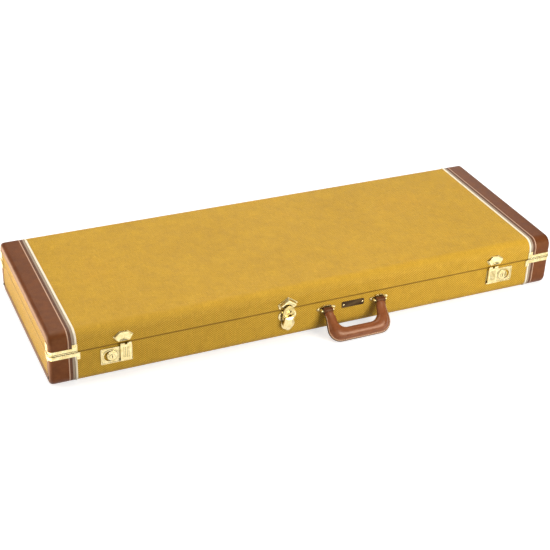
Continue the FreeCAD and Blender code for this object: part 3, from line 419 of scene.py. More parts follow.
def enamel_material():
    g = G("dark_enamel")
    x, y, z = g.split()
    mid = g.noise(160.0, 3.0, 0.6)
    fine = g.noise(900.0, 2.0)
    col = g.mix(g.remap(mid, 0.3, 0.7, 0.0, 1.0), (0.030, 0.016, 0.008), (0.060, 0.034, 0.018))
    pt = g.geom("Pointiness")
    col = g.mix(g.ramp(pt, [(0.52, 0.0), (0.60, 0.6)]), col, (0.35, 0.24, 0.10))
    g.set(color=col, rough=g.add(0.42, g.mul(g.sub(fine, 0.5), 0.2)), spec=0.22, spec_tint=(1.0, 0.72, 0.42), normal=g.bump(g.add(mid, g.mul(fine, 0.4)), 0.12, 0.0004, g.bevel_normal(0.0004)))
    return g.m


def stud_material():
    g = G("dark_stud")
    mid = g.noise(300.0, 3.0, 0.6)
    col = g.mix(mid, (0.012, 0.010, 0.009), (0.05, 0.04, 0.03))
    g.set(color=col, rough=g.add(0.45, g.mul(g.sub(mid, 0.5), 0.3)), spec=0.25, normal=g.bump(mid, 0.2, 0.0003))
    return g.m


def thread_material():
    g = G("waxed_thread")
    tw = g.noise(2200.0, 2.0)
    col = g.mix(g.remap(tw, 0.35, 0.65, 0.0, 1.0), srgb(206, 172, 128), srgb(240, 214, 176))
    g.set(color=col, rough=0.6, spec=0.3, normal=g.bump(tw, 0.5, 0.0002), sheen=0.2)
    return g.m


MATS = {
    "tweed": tweed_material(),
    "leather": leather_material(),
    "leather_handle": leather_material("handle_leather_grain", base=(0.235, 0.064, 0.017), dark=(0.09, 0.022, 0.006), light=(0.38, 0.130, 0.044), grain=1300.0, bump=0.22, rough0=0.29, sheen=0.0, spec=0.36, coat=0.34),
    "leather_edge": leather_material("burnished_edge", base=(0.055, 0.018, 0.008), dark=(0.02, 0.008, 0.004), light=(0.12, 0.045, 0.02), grain=1300.0, bump=0.2, rough0=0.35, sheen=0.0, spec=0.4, coat=0.1),
    # a darker copy of the handle leather for the loops, painted shade where they pass through the brackets
    "leather_loop_shaded": leather_material("loop_leather_shaded", base=(0.105, 0.030, 0.009), dark=(0.04, 0.011, 0.004), light=(0.19, 0.062, 0.022), grain=1300.0, bump=0.22, rough0=0.40, sheen=0.0, spec=0.25, coat=0.05),
    "leather_pull": leather_material("pull_leather", base=(0.22, 0.07, 0.022), grain=1200.0, bump=0.25),
    "wood": wood_material(),
    "piping": piping_material(),
    "trim": trim_material(),
    "brass": brass_material(),
    "brass_moving": brass_material("brass_moving", col_a=(0.86, 0.73, 0.40), col_b=(0.62, 0.48, 0.17), rough0=0.19),
    # a darker copy of the brass, painted shade for the centre latch link
    "brass_link_shaded": brass_material("brass_link_shaded", col_a=(0.66, 0.53, 0.23), col_b=(0.42, 0.30, 0.09), rough0=0.24),
    "brass_nail": brass_material("brass_nail", col_a=(0.93, 0.80, 0.46), col_b=(0.74, 0.56, 0.24), rough0=0.15),
    "pin_steel": steel_material(),
    "core_steel": steel_material("spring_steel", (0.42, 0.42, 0.43), 0.38),
    "plush": plush_material(),
    "plush_welt": plush_material("plush_welt", (0.15, 0.008, 0.011), (0.30, 0.026, 0.030), (0.06, 0.002, 0.004)),
    "nameplate": enamel_material(),
    "stud": stud_material(),
    "thread": thread_material(),
}
slot_of = {s["node"]: s["material_slot"] for s in REC["subparts"]}
for name, ob in NODES.items():
    ob.data.materials.clear()
    ob.data.materials.append(MATS[slot_of[name]])


# the latch link takes the darker copy of the brass, as painted shade
NODES["centre_link"].data.materials[0] = MATS["brass_link_shaded"]


# ------------------------------------------------------------------ mesh helpers
def add_mesh(name, verts, faces, mat, smooth=True):
    me = bpy.data.meshes.new(name)
    me.from_pydata([tuple(v) for v in verts], [], faces)
    me.validate()
    me.update()
    bm = bmesh.new()
    bm.from_mesh(me)
    bmesh.ops.recalc_face_normals(bm, faces=bm.faces)
    bm.to_mesh(me)
    bm.free()
    ob = bpy.data.objects.new(name, me)
    scene.collection.objects.link(ob)
    me.materials.append(mat)
    if smooth:
        for p in me.polygons:
            p.use_smooth = True
    return ob


def place(ob, body, slot, *replaced):
    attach(ob, body)
    if replaced:
        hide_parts(*replaced)
    return ob


# ------------------------------------------------------------------ handle: padded leather with a stitched edge
hj = JOINTS["handle_swing"]["pos_m"]
HXC, HYP, HZP = hj[0], hj[1], hj[2]
REST = math.radians(50.0)
HALF_POST = 0.5 * (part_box("handle_bracket_right")[0].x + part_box("handle_bracket_right")[1].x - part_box("handle_bracket_left")[0].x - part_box("handle_bracket_left")[1].x) / 2

def hand(u, v, w):
    """Handle coordinates in mm (along the case, away from the pivot, through the thickness) to the frame."""
    y, z = -v, w
    yy = y * math.cos(REST) - z * math.sin(REST)
    zz = y * math.sin(REST) + z * math.cos(REST)
    return Vector((HXC + u * MM, HYP + yy * MM, HZP + zz * MM))


OUT_U, OUT_V, OUT_R = 67.6, 65.5, 25.0         # outline of the stitched edge
IN_U, IN_V, IN_R = 43.4, 39.0, 17.0            # inner outline of the padded grip


def u_dist(u, v, U, V, R):
    """Signed distance to a U outline: |u| <= U, v <= V, corners rounded by R, open towards v = 0."""
    qx, qy = abs(u) - (U - R), v - (V - R)
    return math.hypot(max(qx, 0.0), max(qy, 0.0)) + min(max(qx, qy), 0.0) - R


def reach(u, v, du, dv, U, V, R, sgn):
    """How far from (u, v) along the direction the outline lies."""
    lo, hi = 0.0, 60.0
    for _ in range(40):
        m = 0.5 * (lo + hi)
        d = u_dist(u + sgn * du * m, v + sgn * dv * m, U, V, R)
        inside = d < 0 if sgn > 0 else d > 0
        if inside:
            lo = m
        else:
            hi = m
    return lo


def handle_path(n_line=9, n_arc=16, n_grip=24):
    """Centre line of the U from one end to the other: point and outward direction."""
    pts = []
    us, vc, r = 54.0, 50.5, 21.0
    post = HALF_POST / MM
    for i in range(n_line + 1):
        t = i / n_line
        v = 2.0 + t * (vc - r - 2.0)
        pts.append((-post + (post - us) * smooth01(t / 0.6), v, -1.0, 0.0))
    for i in range(1, n_arc + 1):
        a = math.pi / 2 * i / n_arc
        pts.append((-us + r - r * math.cos(a), vc - r + r * math.sin(a), -math.cos(a), math.sin(a)))
    for i in range(1, n_grip):
        t = i / n_grip
        pts.append((-us + r + t * 2 * (us - r), vc, 0.0, 1.0))
    left = pts[:]
    for (u, v, du, dv) in reversed(left[: n_line + n_arc + 1]):
        pts.append((-u, v, -du, dv))
    s = [0.0]
    for a, b in zip(pts, pts[1:]):
        s.append(s[-1] + math.hypot(b[0] - a[0], b[1] - a[1]))
    return pts, s


def smooth01(t):
    t = max(0.0, min(1.0, t))
    return t * t * (3 - 2 * t)


HP, HS = handle_path()
total = HS[-1]
FLANGE_T = 1.9


def extents(i):
    """Inner reach, reach of the padding and reach of the stitched edge at one station."""
    u, v, du, dv = HP[i]
    e = min(HS[i], total - HS[i])
    inn = reach(u, v, du, dv, IN_U, IN_V, IN_R, -1)
    out = reach(u, v, du, dv, OUT_U, OUT_V, OUT_R, 1)
    k = smooth01((e - 6.0) / 30.0)
    inn = inn * k + 9.4 * (1 - k)
    out = out * k + 10.6 * (1 - k)
    out = out - 1.6 * (1 - smooth01(e / 7.0))
    pad = out - (4.6 * k + 1.8 * (1 - k))
    return inn, pad, out


def handle_profile(i):
    inn, pad, out = extents(i)
    e = min(HS[i], total - HS[i])
    k = smooth01((e - 8.0) / 40.0)
    c, A = 0.5 * (pad - inn), 0.5 * (pad + inn)
    B = 5.4 + 4.3 * k
    ft = FLANGE_T
    res = []
    n = 12
    for j in range(n + 1):                      # rounded inner side, from one face round to the other
        th = math.pi / 2 + math.pi * j / n
        ct, st_ = math.cos(th), math.sin(th)
        res.append((c + A * math.copysign(abs(ct) ** 0.86, ct), B * math.copysign(abs(st_) ** 0.86, st_)))
    side = [(0.25, 0.985), (0.48, 0.90), (0.66, 0.76), (0.80, 0.56), (0.91, 0.36)]
    for p, w in side:
        res.append((c + A * p, -max(B * w, ft)))
    res += [(pad + 0.3, -ft), (0.5 * (pad + out), -ft * 0.94), (out - 1.3, -ft), (out - 0.4, -ft * 0.84), (out, -ft * 0.3),
            (out, ft * 0.3), (out - 0.4, ft * 0.84), (out - 1.3, ft), (0.5 * (pad + out), ft * 0.94), (pad + 0.3, ft)]
    for p, w in reversed(side):
        res.append((c + A * p, max(B * w, ft)))
    return res


verts, faces = [], []
prof_n = None
for i, (u, v, du, dv) in enumerate(HP):
    prof = handle_profile(i)
    prof_n = len(prof)
    s = HS[i]
    for (p, w) in prof:
        rip = 1.0 + 0.010 * math.sin(s * 0.9 + w * 0.3) * math.sin(p * 0.5)
        verts.append(hand(u + du * p, v + dv * p, w * rip))
for i in range(len(HP) - 1):
    for j in range(prof_n):
        a, b = i * prof_n + j, i * prof_n + (j + 1) % prof_n
        faces.append((a, b, b + prof_n, a + prof_n))
faces.append(tuple(range(prof_n)))
faces.append(tuple(range((len(HP) - 1) * prof_n, len(HP) * prof_n))[::-1])
grip = add_mesh("handle_grip_leather", verts, faces, MATS["leather_handle"])
grip.data.materials.append(MATS["leather_edge"])
edge_cols = set(range(13 + 5 + 2, 13 + 5 + 7))
for idx, poly in enumerate(grip.data.polygons):
    vv = [q % prof_n for q in poly.vertices]
    if len(vv) == 4 and all(q in edge_cols or q - 1 in edge_cols for q in vv) and min(vv) >= 20 and max(vv) <= 25:
        poly.material_index = 1
sub = grip.modifiers.new("sub", "SUBSURF")
sub.levels = sub.render_levels = 1
place(grip, "handle", "leather", "handle_leather")

# leather loops round the bracket bars, open tubes with rolled ends
for side in (-1, 1):
    cx = side * HALF_POST / MM
    vs, fs = [], []
    prof = [(-9.2, 4.1), (-9.6, 4.5), (-9.7, 5.3), (-9.2, 5.9), (-6.0, 6.1), (0.0, 6.0), (6.0, 6.1), (9.2, 5.9), (9.7, 5.3), (9.6, 4.5), (9.2, 4.1)]
    NS = 28
    for (px, pr) in prof:
        for i in range(NS):
            a = 2 * math.pi * i / NS
            vs.append(hand(cx + px, -pr * math.cos(a) * -1.0, pr * math.sin(a)))
    for j in range(len(prof)):
        jn = (j + 1) % len(prof)
        for i in range(NS):
            i2 = (i + 1) % NS
            fs.append((j * NS + i, j * NS + i2, jn * NS + i2, jn * NS + i))
    # the loops take the darker leather, as painted shade
    loop = add_mesh("handle_loop_" + ("left" if side < 0 else "right"), vs, fs, MATS["leather_loop_shaded"])
    place(loop, "handle", "leather")

# pale stitches along both faces of the flange
vs, fs = [], []
def stitch(p0, p1, nrm, rad):
    d = (p1 - p0)
    L = d.length
    d.normalize()
    side = d.cross(nrm).normalized()
    base = len(vs)
    ring_n, rows = 6, 6
    for r_ in range(rows):
        t = r_ / (rows - 1)
        rr = rad * math.sqrt(max(0.0, 1 - (2 * t - 1) ** 2 * 0.86))
        lift = rad * 0.55 * math.sin(math.pi * t)
        c = p0.lerp(p1, t) + nrm * lift
        for q in range(ring_n):
            a = 2 * math.pi * q / ring_n
            vs.append(c + side * (rr * math.cos(a)) + nrm * (rr * 0.8 * math.sin(a)))
    for r_ in range(rows - 1):
        for q in range(ring_n):
            a, b = base + r_ * ring_n + q, base + r_ * ring_n + (q + 1) % ring_n
            fs.append((a, b, b + ring_n, a + ring_n))
    fs.append(tuple(base + q for q in range(ring_n)))
    fs.append(tuple(base + (rows - 1) * ring_n + q for q in range(ring_n))[::-1])

def at_path(s):
    i = 0
    while i < len(HS) - 2 and HS[i + 1] < s:
        i += 1
    t = (s - HS[i]) / (HS[i + 1] - HS[i])
    a, b = HP[i], HP[i + 1]
    return tuple(a[j] + (b[j] - a[j]) * t for j in range(4))

def flange_mid(s):
    i = 0
    while i < len(HS) - 2 and HS[i + 1] < s:
        i += 1
    t = (s - HS[i]) / (HS[i + 1] - HS[i])
    a, b = HP[i], HP[i + 1]
    u, v, du, dv = (a[j] + (b[j] - a[j]) * t for j in range(4))
    pa, pb = extents(i), extents(i + 1)
    off = (pa[1] + pa[2]) * 0.5 * (1 - t) + (pb[1] + pb[2]) * 0.5 * t + 0.1
    L = math.hypot(du, dv)
    return u + du / L * off, v + dv / L * off

# walk along the middle of the flange so that every stitch has the same length
walk = [flange_mid(0.5 * k) for k in range(int(total / 0.5))]
acc = [0.0]
for p, q in zip(walk, walk[1:]):
    acc.append(acc[-1] + math.hypot(q[0] - p[0], q[1] - p[1]))

def on_walk(x):
    k = int(np.searchsorted(acc, x)) - 1
    k = max(0, min(k, len(walk) - 2))
    t = (x - acc[k]) / (acc[k + 1] - acc[k])
    return walk[k][0] + (walk[k + 1][0] - walk[k][0]) * t, walk[k][1] + (walk[k + 1][1] - walk[k][1]) * t

up_n = (hand(0, 0, 1.0) - hand(0, 0, 0.0)).normalized()
x = 9.0
while x < acc[-1] - 12.0:
    for w, nrm in ((FLANGE_T * 0.97, up_n), (-FLANGE_T * 0.97, -up_n)):
        p0, p1 = on_walk(x), on_walk(x + 3.1)
        stitch(hand(*p0, w), hand(*p1, w), nrm, 0.00052)
    x += 4.0
st = add_mesh("handle_stitching", vs, fs, MATS["thread"])
place(st, "handle", "leather")

# ------------------------------------------------------------------ soft lining inside
from mathutils.kdtree import KDTree


def tree_of(points):
    t = KDTree(len(points))
    for i, p in enumerate(points):
        t.insert(p, i)
    t.balance()
    return t


def coords(me):
    a = np.empty(len(me.vertices) * 3)
    me.vertices.foreach_get("co", a)
    return a.reshape(-1, 3)


def baked(ob):
    """Mesh of the object with its modifiers applied."""
    dg = bpy.context.evaluated_depsgraph_get()
    return bpy.data.meshes.new_from_object(ob.evaluated_get(dg))


def soft_copy(name, node, voxel, mat, smooth_n=6):
    ob = bpy.data.objects.new(name, NODES[node].data.copy())
    scene.collection.objects.link(ob)
    m = ob.modifiers.new("remesh", "REMESH")
    m.mode = "VOXEL"
    m.voxel_size = voxel
    me = baked(ob)
    ob.modifiers.clear()
    ob.data = me
    me.materials.clear()
    me.materials.append(mat)
    # round the stair steps and the corners
    bm = bmesh.new()
    bm.from_mesh(me)
    for _ in range(smooth_n):
        bmesh.ops.smooth_vert(bm, verts=bm.verts, factor=0.5, use_axis_x=True, use_axis_y=True, use_axis_z=True)
    bm.to_mesh(me)
    bm.free()
    for p in me.polygons:
        p.use_smooth = True
    return ob


def swell(ob, held, cap, pressure=4.0, limit=None):
    """Blow the piece up as cloth, with the held points fixed, then keep every point within cap of where it was."""
    me = ob.data
    start = coords(me)
    vg = ob.vertex_groups.new(name="held")
    vg.add(list(held), 1.0, "REPLACE")
    m = ob.modifiers.new("cloth", "CLOTH")
    st = m.settings
    st.quality = 3
    st.mass = 0.3
    st.use_pressure = True
    st.uniform_pressure_force = pressure
    st.effector_weights.gravity = 0.0
    st.vertex_group_mass = "held"
    st.tension_stiffness = st.compression_stiffness = 15
    st.bending_stiffness = 0.5
    m.collision_settings.use_collision = False
    m.point_cache.frame_start, m.point_cache.frame_end = 1, 20
    for f in range(1, 21):
        scene.frame_set(f)
    sim = baked(ob)
    end = coords(sim)
    ob.modifiers.remove(m)
    ob.vertex_groups.clear()
    scene.frame_set(1)
    bpy.data.meshes.remove(sim)
    d = end - start
    ln = np.linalg.norm(d, axis=1)
    top = cap * (1 - np.exp(-ln / cap))          # soft limit
    k = np.where(ln > 1e-9, top / np.maximum(ln, 1e-9), 0.0)
    end = start + d * k[:, None]
    if limit is not None:
        end = limit(start, end)
    me.vertices.foreach_set("co", end.ravel())
    me.update()


def finish_soft(ob, levels=1):
    m = ob.modifiers.new("sub", "SUBSURF")
    m.levels = m.render_levels = levels


def tube(name, pts, r, mat, closed=False, n=8, smooth_it=0):
    pts = [Vector(p) for p in pts]
    for _ in range(smooth_it):
        q = [p.copy() for p in pts]
        for i in range(len(pts)):
            if closed or 0 < i < len(pts) - 1:
                q[i] = (pts[i - 1] + pts[i] * 2 + pts[(i + 1) % len(pts)]) / 4
        pts = q
    vs, fs = [], []
    N = len(pts)
    ref = Vector((0, 0, 1))
    for i, p in enumerate(pts):
        a = pts[i - 1] if (closed or i > 0) else p
        b = pts[(i + 1) % N] if (closed or i < N - 1) else p
        t = (b - a).normalized()
        if abs(t.dot(ref)) > 0.9:
            side = t.cross(Vector((1, 0, 0))).normalized()
        else:
            side = t.cross(ref).normalized()
        up_ = side.cross(t).normalized()
        for j in range(n):
            w = 2 * math.pi * j / n
            vs.append(p + side * (r * math.cos(w)) + up_ * (r * math.sin(w)))
    for i in range(N if closed else N - 1):
        i2 = (i + 1) % N
        for j in range(n):
            j2 = (j + 1) % n
            fs.append((i * n + j, i * n + j2, i2 * n + j2, i2 * n + j))
    if not closed:
        fs.append(tuple(range(n)))
        fs.append(tuple(range((N - 1) * n, N * n))[::-1])
    return add_mesh(name, vs, fs, mat)


def loops_at(me, z, tol=1e-5, test=None):
    """Closed loops of mesh edges that lie at height z between a level face and a steep one."""
    bm = bmesh.new()
    bm.from_mesh(me)
    bmesh.ops.remove_doubles(bm, verts=bm.verts, dist=2e-5)
    bm.normal_update()
    nxt = {}
    for e in bm.edges:
        a, b = e.verts
        if abs(a.co.z - z) < tol and abs(b.co.z - z) < tol and len(e.link_faces) == 2:
            n0, n1 = e.link_faces[0].normal, e.link_faces[1].normal
            if (abs(n0.z) > 0.9) != (abs(n1.z) > 0.9):
                nxt.setdefault(a.index, []).append(b.index)
                nxt.setdefault(b.index, []).append(a.index)
    bm.verts.ensure_lookup_table()
    loops, seen = [], set()
    for s0 in nxt:
        if s0 in seen:
            continue
        path, cur, prev = [], s0, None
        while cur is not None and cur not in seen:
            seen.add(cur)
            path.append(bm.verts[cur].co.copy())
            opts = [k for k in nxt[cur] if k != prev and k not in seen]
            prev, cur = cur, (opts[0] if opts else None)
        loops.append(path)
    bm.free()
    return loops


def resample(path, step, closed=True):
    pts = path + [path[0]] if closed else path
    out, carry = [], 0.0
    for a, b in zip(pts, pts[1:]):
        L = (b - a).length
        if L < 1e-9:
            continue
        x = carry
        while x < L:
            out.append(a.lerp(b, x / L))
            x += step
        carry = x - L
    return out


# --- base cushion: crowned between its sewn edges
c_lo, c_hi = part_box("base_cushion")
loops = [resample(l, 0.004) for l in loops_at(NODES["base_cushion"].data, c_hi.z) if len(l) > 3]
loops = [l for l in loops if len(l) > 12]
cush = soft_copy("plush_cushion", "base_cushion", 0.006, MATS["plush"], 4)
pts = coords(cush.data)
edge_tree = tree_of([p for l in loops for p in l]) if loops else None
b_lo, b_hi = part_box("accessory_box")
l_lo, l_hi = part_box("accessory_lid")
n_lo, n_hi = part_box("neck_rest")
held = set()
for i, p in enumerate(pts):
    v = Vector(p)
    if p[2] < c_lo.z + 0.004 or min(p[0] - c_lo.x, c_hi.x - p[0], p[1] - c_lo.y, c_hi.y - p[1]) < 0.004:
        held.add(i)
    elif edge_tree and edge_tree.find(v)[2] < 0.0045:
        held.add(i)
    elif b_lo.x - 0.008 < p[0] < b_hi.x + 0.008 and b_lo.y - 0.008 < p[1] < b_hi.y + 0.008:
        held.add(i)


def cushion_limit(a, b):
    # stay between the walls and off the floor, and clear of the neck rest
    b[:, 0] = np.clip(b[:, 0], c_lo.x, c_hi.x)
    b[:, 1] = np.clip(b[:, 1], c_lo.y, c_hi.y)
    b[:, 2] = np.maximum(b[:, 2], c_lo.z)
    near = (a[:, 0] > n_lo.x - 0.012) & (a[:, 0] < n_hi.x + 0.012) & (np.abs(a[:, 1]) < 0.06)
    b[near] = a[near]
    return b


swell(cush, held, 0.007, 4.0, cushion_limit)
finish_soft(cush)
place(cush, "base", "plush", "base_cushion")
for k, l in enumerate(loops):
    z0 = c_hi.z
    w = tube("cushion_welt_%d" % k, [Vector((p.x, p.y, z0 + 0.0001)) for p in l], 0.0017, MATS["plush_welt"], True, 8, 3)
    place(w, "base", "plush")

# --- lid pad: quilted in channels
p_lo, p_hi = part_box("lid_pad")
pad = soft_copy("plush_lid_pad", "lid_pad", 0.006, MATS["plush"], 3)
pts = coords(pad.data)
# the cover of the pad is tucked in behind the wall lining
PX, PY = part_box("base_valance")[1].x - 0.0030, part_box("base_valance")[1].y - 0.0030
pts[:, 0] *= PX / p_hi.x
pts[:, 1] *= PY / p_hi.y
pad.data.vertices.foreach_set("co", pts.ravel())
p_lo.x, p_hi.x, p_lo.y, p_hi.y = -PX, PX, -PY, PY
seams_x = [p_lo.x + (p_hi.x - p_lo.x) * k / 6 for k in range(1, 6)]
held = {i for i, p in enumerate(pts) if p[2] > p_hi.z - 0.004 or min(p[0] - p_lo.x, p_hi.x - p[0], p[1] - p_lo.y, p_hi.y - p[1]) < 0.003
        or min(abs(p[0] - x) for x in seams_x) < 0.0032}


def pad_limit(a, b):
    b[:, 0] = np.clip(b[:, 0], p_lo.x - 0.001, p_hi.x + 0.001)
    b[:, 1] = np.clip(b[:, 1], p_lo.y - 0.001, p_hi.y + 0.001)
    b[:, 2] = np.minimum(b[:, 2], p_hi.z)
    return b


swell(pad, held, 0.009, 4.0, pad_limit)
finish_soft(pad)
place(pad, "lid", "plush", "lid_pad")
zs = p_lo.z + 0.0009
for k, x in enumerate(seams_x):
    w = tube("lid_pad_seam_%d" % k, [Vector((x, p_lo.y + 0.004 + (p_hi.y - p_lo.y - 0.008) * t / 40, zs)) for t in range(41)], 0.0012, MATS["plush_welt"], False, 6)
    place(w, "lid", "plush")

# --- neck rest and pocket lid
nr = soft_copy("plush_neck_rest", "neck_rest", 0.003, MATS["plush"], 5)
pts = coords(nr.data)
held = {i for i, p in enumerate(pts) if p[2] < n_lo.z + 0.004 or min(p[1] - n_lo.y, n_hi.y - p[1]) < 0.003}
def rest_limit(a, b):
    b[:, 0] = np.clip(b[:, 0], n_lo.x - 0.002, n_hi.x + 0.002)
    b[:, 1] = np.clip(b[:, 1], n_lo.y, n_hi.y)
    b[:, 2] = np.maximum(b[:, 2], n_lo.z)
    return b
swell(nr, held, 0.0035, 4.0, rest_limit)
finish_soft(nr)
place(nr, "base", "plush", "neck_rest")

al = soft_copy("plush_pocket_lid", "accessory_lid", 0.0026, MATS["plush"], 2)
pts = coords(al.data)
held = {i for i, p in enumerate(pts) if p[2] < l_lo.z + 0.0016 or min(p[0] - l_lo.x, l_hi.x - p[0], p[1] - l_lo.y, l_hi.y - p[1]) < 0.0035}
def lid_limit(a, b):
    b[:, 0] = np.clip(b[:, 0], l_lo.x, l_hi.x)
    b[:, 1] = np.clip(b[:, 1], l_lo.y, l_hi.y)
    b[:, 2] = np.maximum(b[:, 2], l_lo.z)
    return b
swell(al, held, 0.0034, 4.0, lid_limit)
finish_soft(al)
place(al, "accessory_lid_body", "plush", "accessory_lid")

# --- lining round the inside of the lid walls, above the tongue
s_lo, s_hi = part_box("lid_shell")
v_lo, v_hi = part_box("base_valance")
IX, IY = v_hi.x + 0.0001, v_hi.y + 0.0001
def wall_ring(name, x, y, z0, z1, t, body, n_z=7, rc=0.012):
    """A padded band round the inside of the walls: slightly bulging, corners rounded."""
    outline = []
    for (cx_, cy_, a0) in ((x - rc, y - rc, 0), (-x + rc, y - rc, 90), (-x + rc, -y + rc, 180), (x - rc, -y + rc, 270)):
        for k in range(7):
            a = math.radians(a0 + 90 * k / 6)
            outline.append((cx_ + rc * math.cos(a), cy_ + rc * math.sin(a), math.cos(a), math.sin(a)))
    dense = []
    for i, p in enumerate(outline):
        q = outline[(i + 1) % len(outline)]
        m = max(1, int(math.hypot(q[0] - p[0], q[1] - p[1]) / 0.02))
        for k in range(m):
            f = k / m
            dense.append(tuple(p[j] + (q[j] - p[j]) * f for j in range(4)))
    N = len(dense)
    vs, fs = [], []
    prof = []
    for k in range(n_z + 1):
        f = k / n_z
        prof.append((t * (0.55 + 0.45 * math.sin(math.pi * f) ** 0.5), z0 + (z1 - z0) * f))
    for k in range(n_z + 1):
        prof.append((0.0002, z1 - (z1 - z0) * k / n_z))
    M = len(prof)
    for (d, z) in prof:
        for i, (px, py, nx, ny) in enumerate(dense):
            w = 1.0 + 0.10 * math.sin(i * 0.37) * math.sin(i * 0.11)
            vs.append((px - nx * d * w, py - ny * d * w, z))
    for k in range(M):
        k2 = (k + 1) % M
        for i in range(N):
            i2 = (i + 1) % N
            fs.append((k * N + i, k * N + i2, k2 * N + i2, k2 * N + i))
    ob = add_mesh(name, vs, fs, MATS["plush"])
    place(ob, body, "plush")
    return ob
wall_ring("lid_wall_lining", IX - 0.0001, IY - 0.0001, v_hi.z + 0.0012, p_hi.z - 0.0006, 0.0024, "lid")

for nm in ("base_cover", "lid_cover", "base_end_panels", "lid_end_panels"):
    m = NODES[nm].modifiers.new("bevel", "BEVEL")
    m.width = 0.0007
    m.segments = 2
    m.limit_method = "ANGLE"
    m.angle_limit = math.radians(50)
# collapsed faces, which have no area, are dropped from the nodes that hold any
tidy = bpy.data.node_groups.new("drop_collapsed_faces", "GeometryNodeTree")
tidy.interface.new_socket("Geometry", in_out="INPUT", socket_type="NodeSocketGeometry")
tidy.interface.new_socket("Geometry", in_out="OUTPUT", socket_type="NodeSocketGeometry")
t_in, t_out = tidy.nodes.new("NodeGroupInput"), tidy.nodes.new("NodeGroupOutput")
t_area, t_less = tidy.nodes.new("GeometryNodeInputMeshFaceArea"), tidy.nodes.new("ShaderNodeMath")
t_less.operation = "LESS_THAN"
t_less.inputs[1].default_value = 5e-14
t_del = tidy.nodes.new("GeometryNodeDeleteGeometry")
t_del.domain, t_del.mode = "FACE", "ALL"
tidy.links.new(t_in.outputs[0], t_del.inputs["Geometry"])
tidy.links.new(t_area.outputs[0], t_less.inputs[0])
tidy.links.new(t_less.outputs[0], t_del.inputs["Selection"])
tidy.links.new(t_del.outputs[0], t_out.inputs[0])
for nm in ("accessory_lid_pull", "handle_bracket_left", "handle_bracket_right"):
    NODES[nm].modifiers.new("tidy", "NODES").node_group = tidy
for nm in ("accessory_box", "base_valance"):
    m = NODES[nm].modifiers.new("bevel", "BEVEL")
    m.width = 0.0010
    m.segments = 3
    m.limit_method = "ANGLE"
    m.angle_limit = math.radians(40)
NODES["base_valance"].data.materials[0] = MATS["plush"]

# ------------------------------------------------------------------ stage, light, camera
floor_me = bpy.data.meshes.new("floor")
S = 14.0
floor_me.from_pydata([(-S, -S, 0), (S, -S, 0), (S, S, 0), (-S, S, 0)], [], [(0, 1, 2, 3)])
floor = bpy.data.objects.new("floor", floor_me)
scene.collection.objects.link(floor)
floor.location = (0, 0, CAD_BOX[0][2] - 0.0002)
# ------------------------------------------------------------------ keepers: a flat dark patch as painted shadow for the catch opening, under a small pressed hood
for side in ("left", "right"):
    k_lo, k_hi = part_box(side + "_keeper")
    cx, y0 = 0.5 * (k_lo.x + k_hi.x), k_lo.y
    zb, half, rise = k_lo.z + 0.0022, 0.19 * (k_hi.x - k_lo.x), 0.0030
    arc = [(cx + half * math.cos(math.pi * i / 14), zb + rise * math.sin(math.pi * i / 14)) for i in range(15)]
    vs = [(x, y0 - 0.00015, z) for x, z in arc] + [(x, y0 + 0.0003, z) for x, z in arc]
    n_ = len(arc)
    fs = [tuple(range(n_)), tuple(range(2 * n_ - 1, n_ - 1, -1))]
    fs += [(i, (i + 1) % n_, n_ + (i + 1) % n_, n_ + i) for i in range(n_)]
    # a flat dark sheet, 0.15 mm proud of the keeper, is painted shadow for the catch opening; there is no recess
    place(add_mesh(side + "_keeper_slot_shadow", vs, fs, MATS["stud"], smooth=False), "lid", "stud")
    hood = tube(side + "_keeper_hood", [(x, y0 - 0.0001, z) for x, z in arc], 0.0008, MATS["brass"])
    place(hood, "lid", "brass")

g = G("studio_floor")
lp = g.nt.nodes.new("ShaderNodeLightPath")
dif = lp.outputs["Is Diffuse Ray"]
g.set(color=g.mix(dif, (0.60, 0.60, 0.60), (0.30, 0.30, 0.30)), rough=0.95, spec=0.0)
g.bsdf.inputs["Emission Color"].default_value = (1, 1, 1, 1)
g.put(g.bsdf.inputs["Emission Strength"], g.sub(0.66, g.mul(dif, 0.60)))
under = g.mul(g.geom("Backfacing"), lp.outputs["Is Camera Ray"])
tr = g.nt.nodes.new("ShaderNodeBsdfTransparent")
mx_ = g.nt.nodes.new("ShaderNodeMixShader")
g.put(mx_.inputs[0], under)
g.nt.links.new(g.bsdf.outputs[0], mx_.inputs[1])
g.nt.links.new(tr.outputs[0], mx_.inputs[2])
g.nt.links.new(mx_.outputs[0], g.out.inputs[0])
floor_me.materials.append(g.m)

world = bpy.data.worlds.new("studio")
scene.world = world
world.use_nodes = True
wn = world.node_tree
bg = wn.nodes["Background"] if "Background" in wn.nodes else wn.nodes.new("ShaderNodeBackground")
bg.inputs[0].default_value = (1.0, 0.99, 0.975, 1)
bg.inputs[1].default_value = 0.27


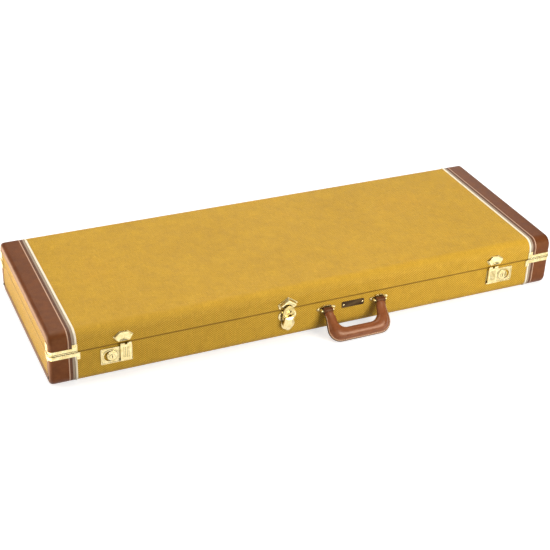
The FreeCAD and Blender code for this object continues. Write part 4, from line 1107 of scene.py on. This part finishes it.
def area(name, loc, target, size, power, colour=(1, 1, 1), size_y=None, diffuse=True):
    li = bpy.data.lights.new(name, "AREA")
    li.energy = power
    li.color = colour
    li.size = size
    if size_y:
        li.shape = "RECTANGLE"
        li.size_y = size_y
    ob = bpy.data.objects.new(name, li)
    scene.collection.objects.link(ob)
    ob.location = loc
    d = Vector(target) - Vector(loc)
    ob.rotation_euler = d.to_track_quat("-Z", "Y").to_euler()
    ob.visible_diffuse = diffuse
    ob.visible_camera = False
    return ob


area("overhead", (-0.15, 0.8, 2.6), (0.0, 0.0, 0.0), 2.4, 58.0, (1.0, 0.985, 0.97))
area("left_key", (-2.1, 0.25, 0.50), (-0.5, 0.0, 0.05), 1.0, 24.0, (1.0, 0.96, 0.90))
area("right_front", (0.70, -1.50, 0.60), (0.30, -0.1, 0.05), 0.9, 24.0, (1.0, 0.98, 0.95))
area("left_card", (-0.78, 0.12, 0.004), (-0.78, 0.12, 1.0), 0.42, 3.4, (1.0, 0.70, 0.44), 0.9, diffuse=False)
area("back_card", (1.3, 2.6, 1.5), (0.3, 0.0, 0.1), 2.2, 26.0, (1.0, 0.97, 0.92), diffuse=False)
area("front_glint", (-0.55, -1.75, 0.42), (0.1, -0.2, 0.05), 1.3, 3.0, (1, 1, 1), 0.16, diffuse=False)

cam_data = bpy.data.cameras.new("camera")
cam = bpy.data.objects.new("camera", cam_data)
scene.collection.objects.link(cam)
scene.camera = cam
AZ, EL, RO = math.radians(-24.823), math.radians(30.839), math.radians(2.391)
d = Vector((-math.sin(AZ) * math.cos(EL), math.cos(AZ) * math.cos(EL), -math.sin(EL)))
right = Vector((math.cos(AZ), math.sin(AZ), 0.0))
up = right.cross(d)
r2 = right * math.cos(RO) + up * math.sin(RO)
u2 = -right * math.sin(RO) + up * math.cos(RO)
rot = Matrix((r2, u2, -d)).transposed()
cam.matrix_world = Matrix.Translation(Vector((-0.9361, -2.0060, 1.3463))) @ rot.to_4x4()
cam_data.sensor_width = 36.0
cam_data.sensor_fit = "HORIZONTAL"
cam_data.lens = 36.0 * 1249.643 / 550.0
cam_data.clip_start, cam_data.clip_end = 0.05, 60.0
scene.view_settings.view_transform = "Standard"
scene.view_settings.look = "None"
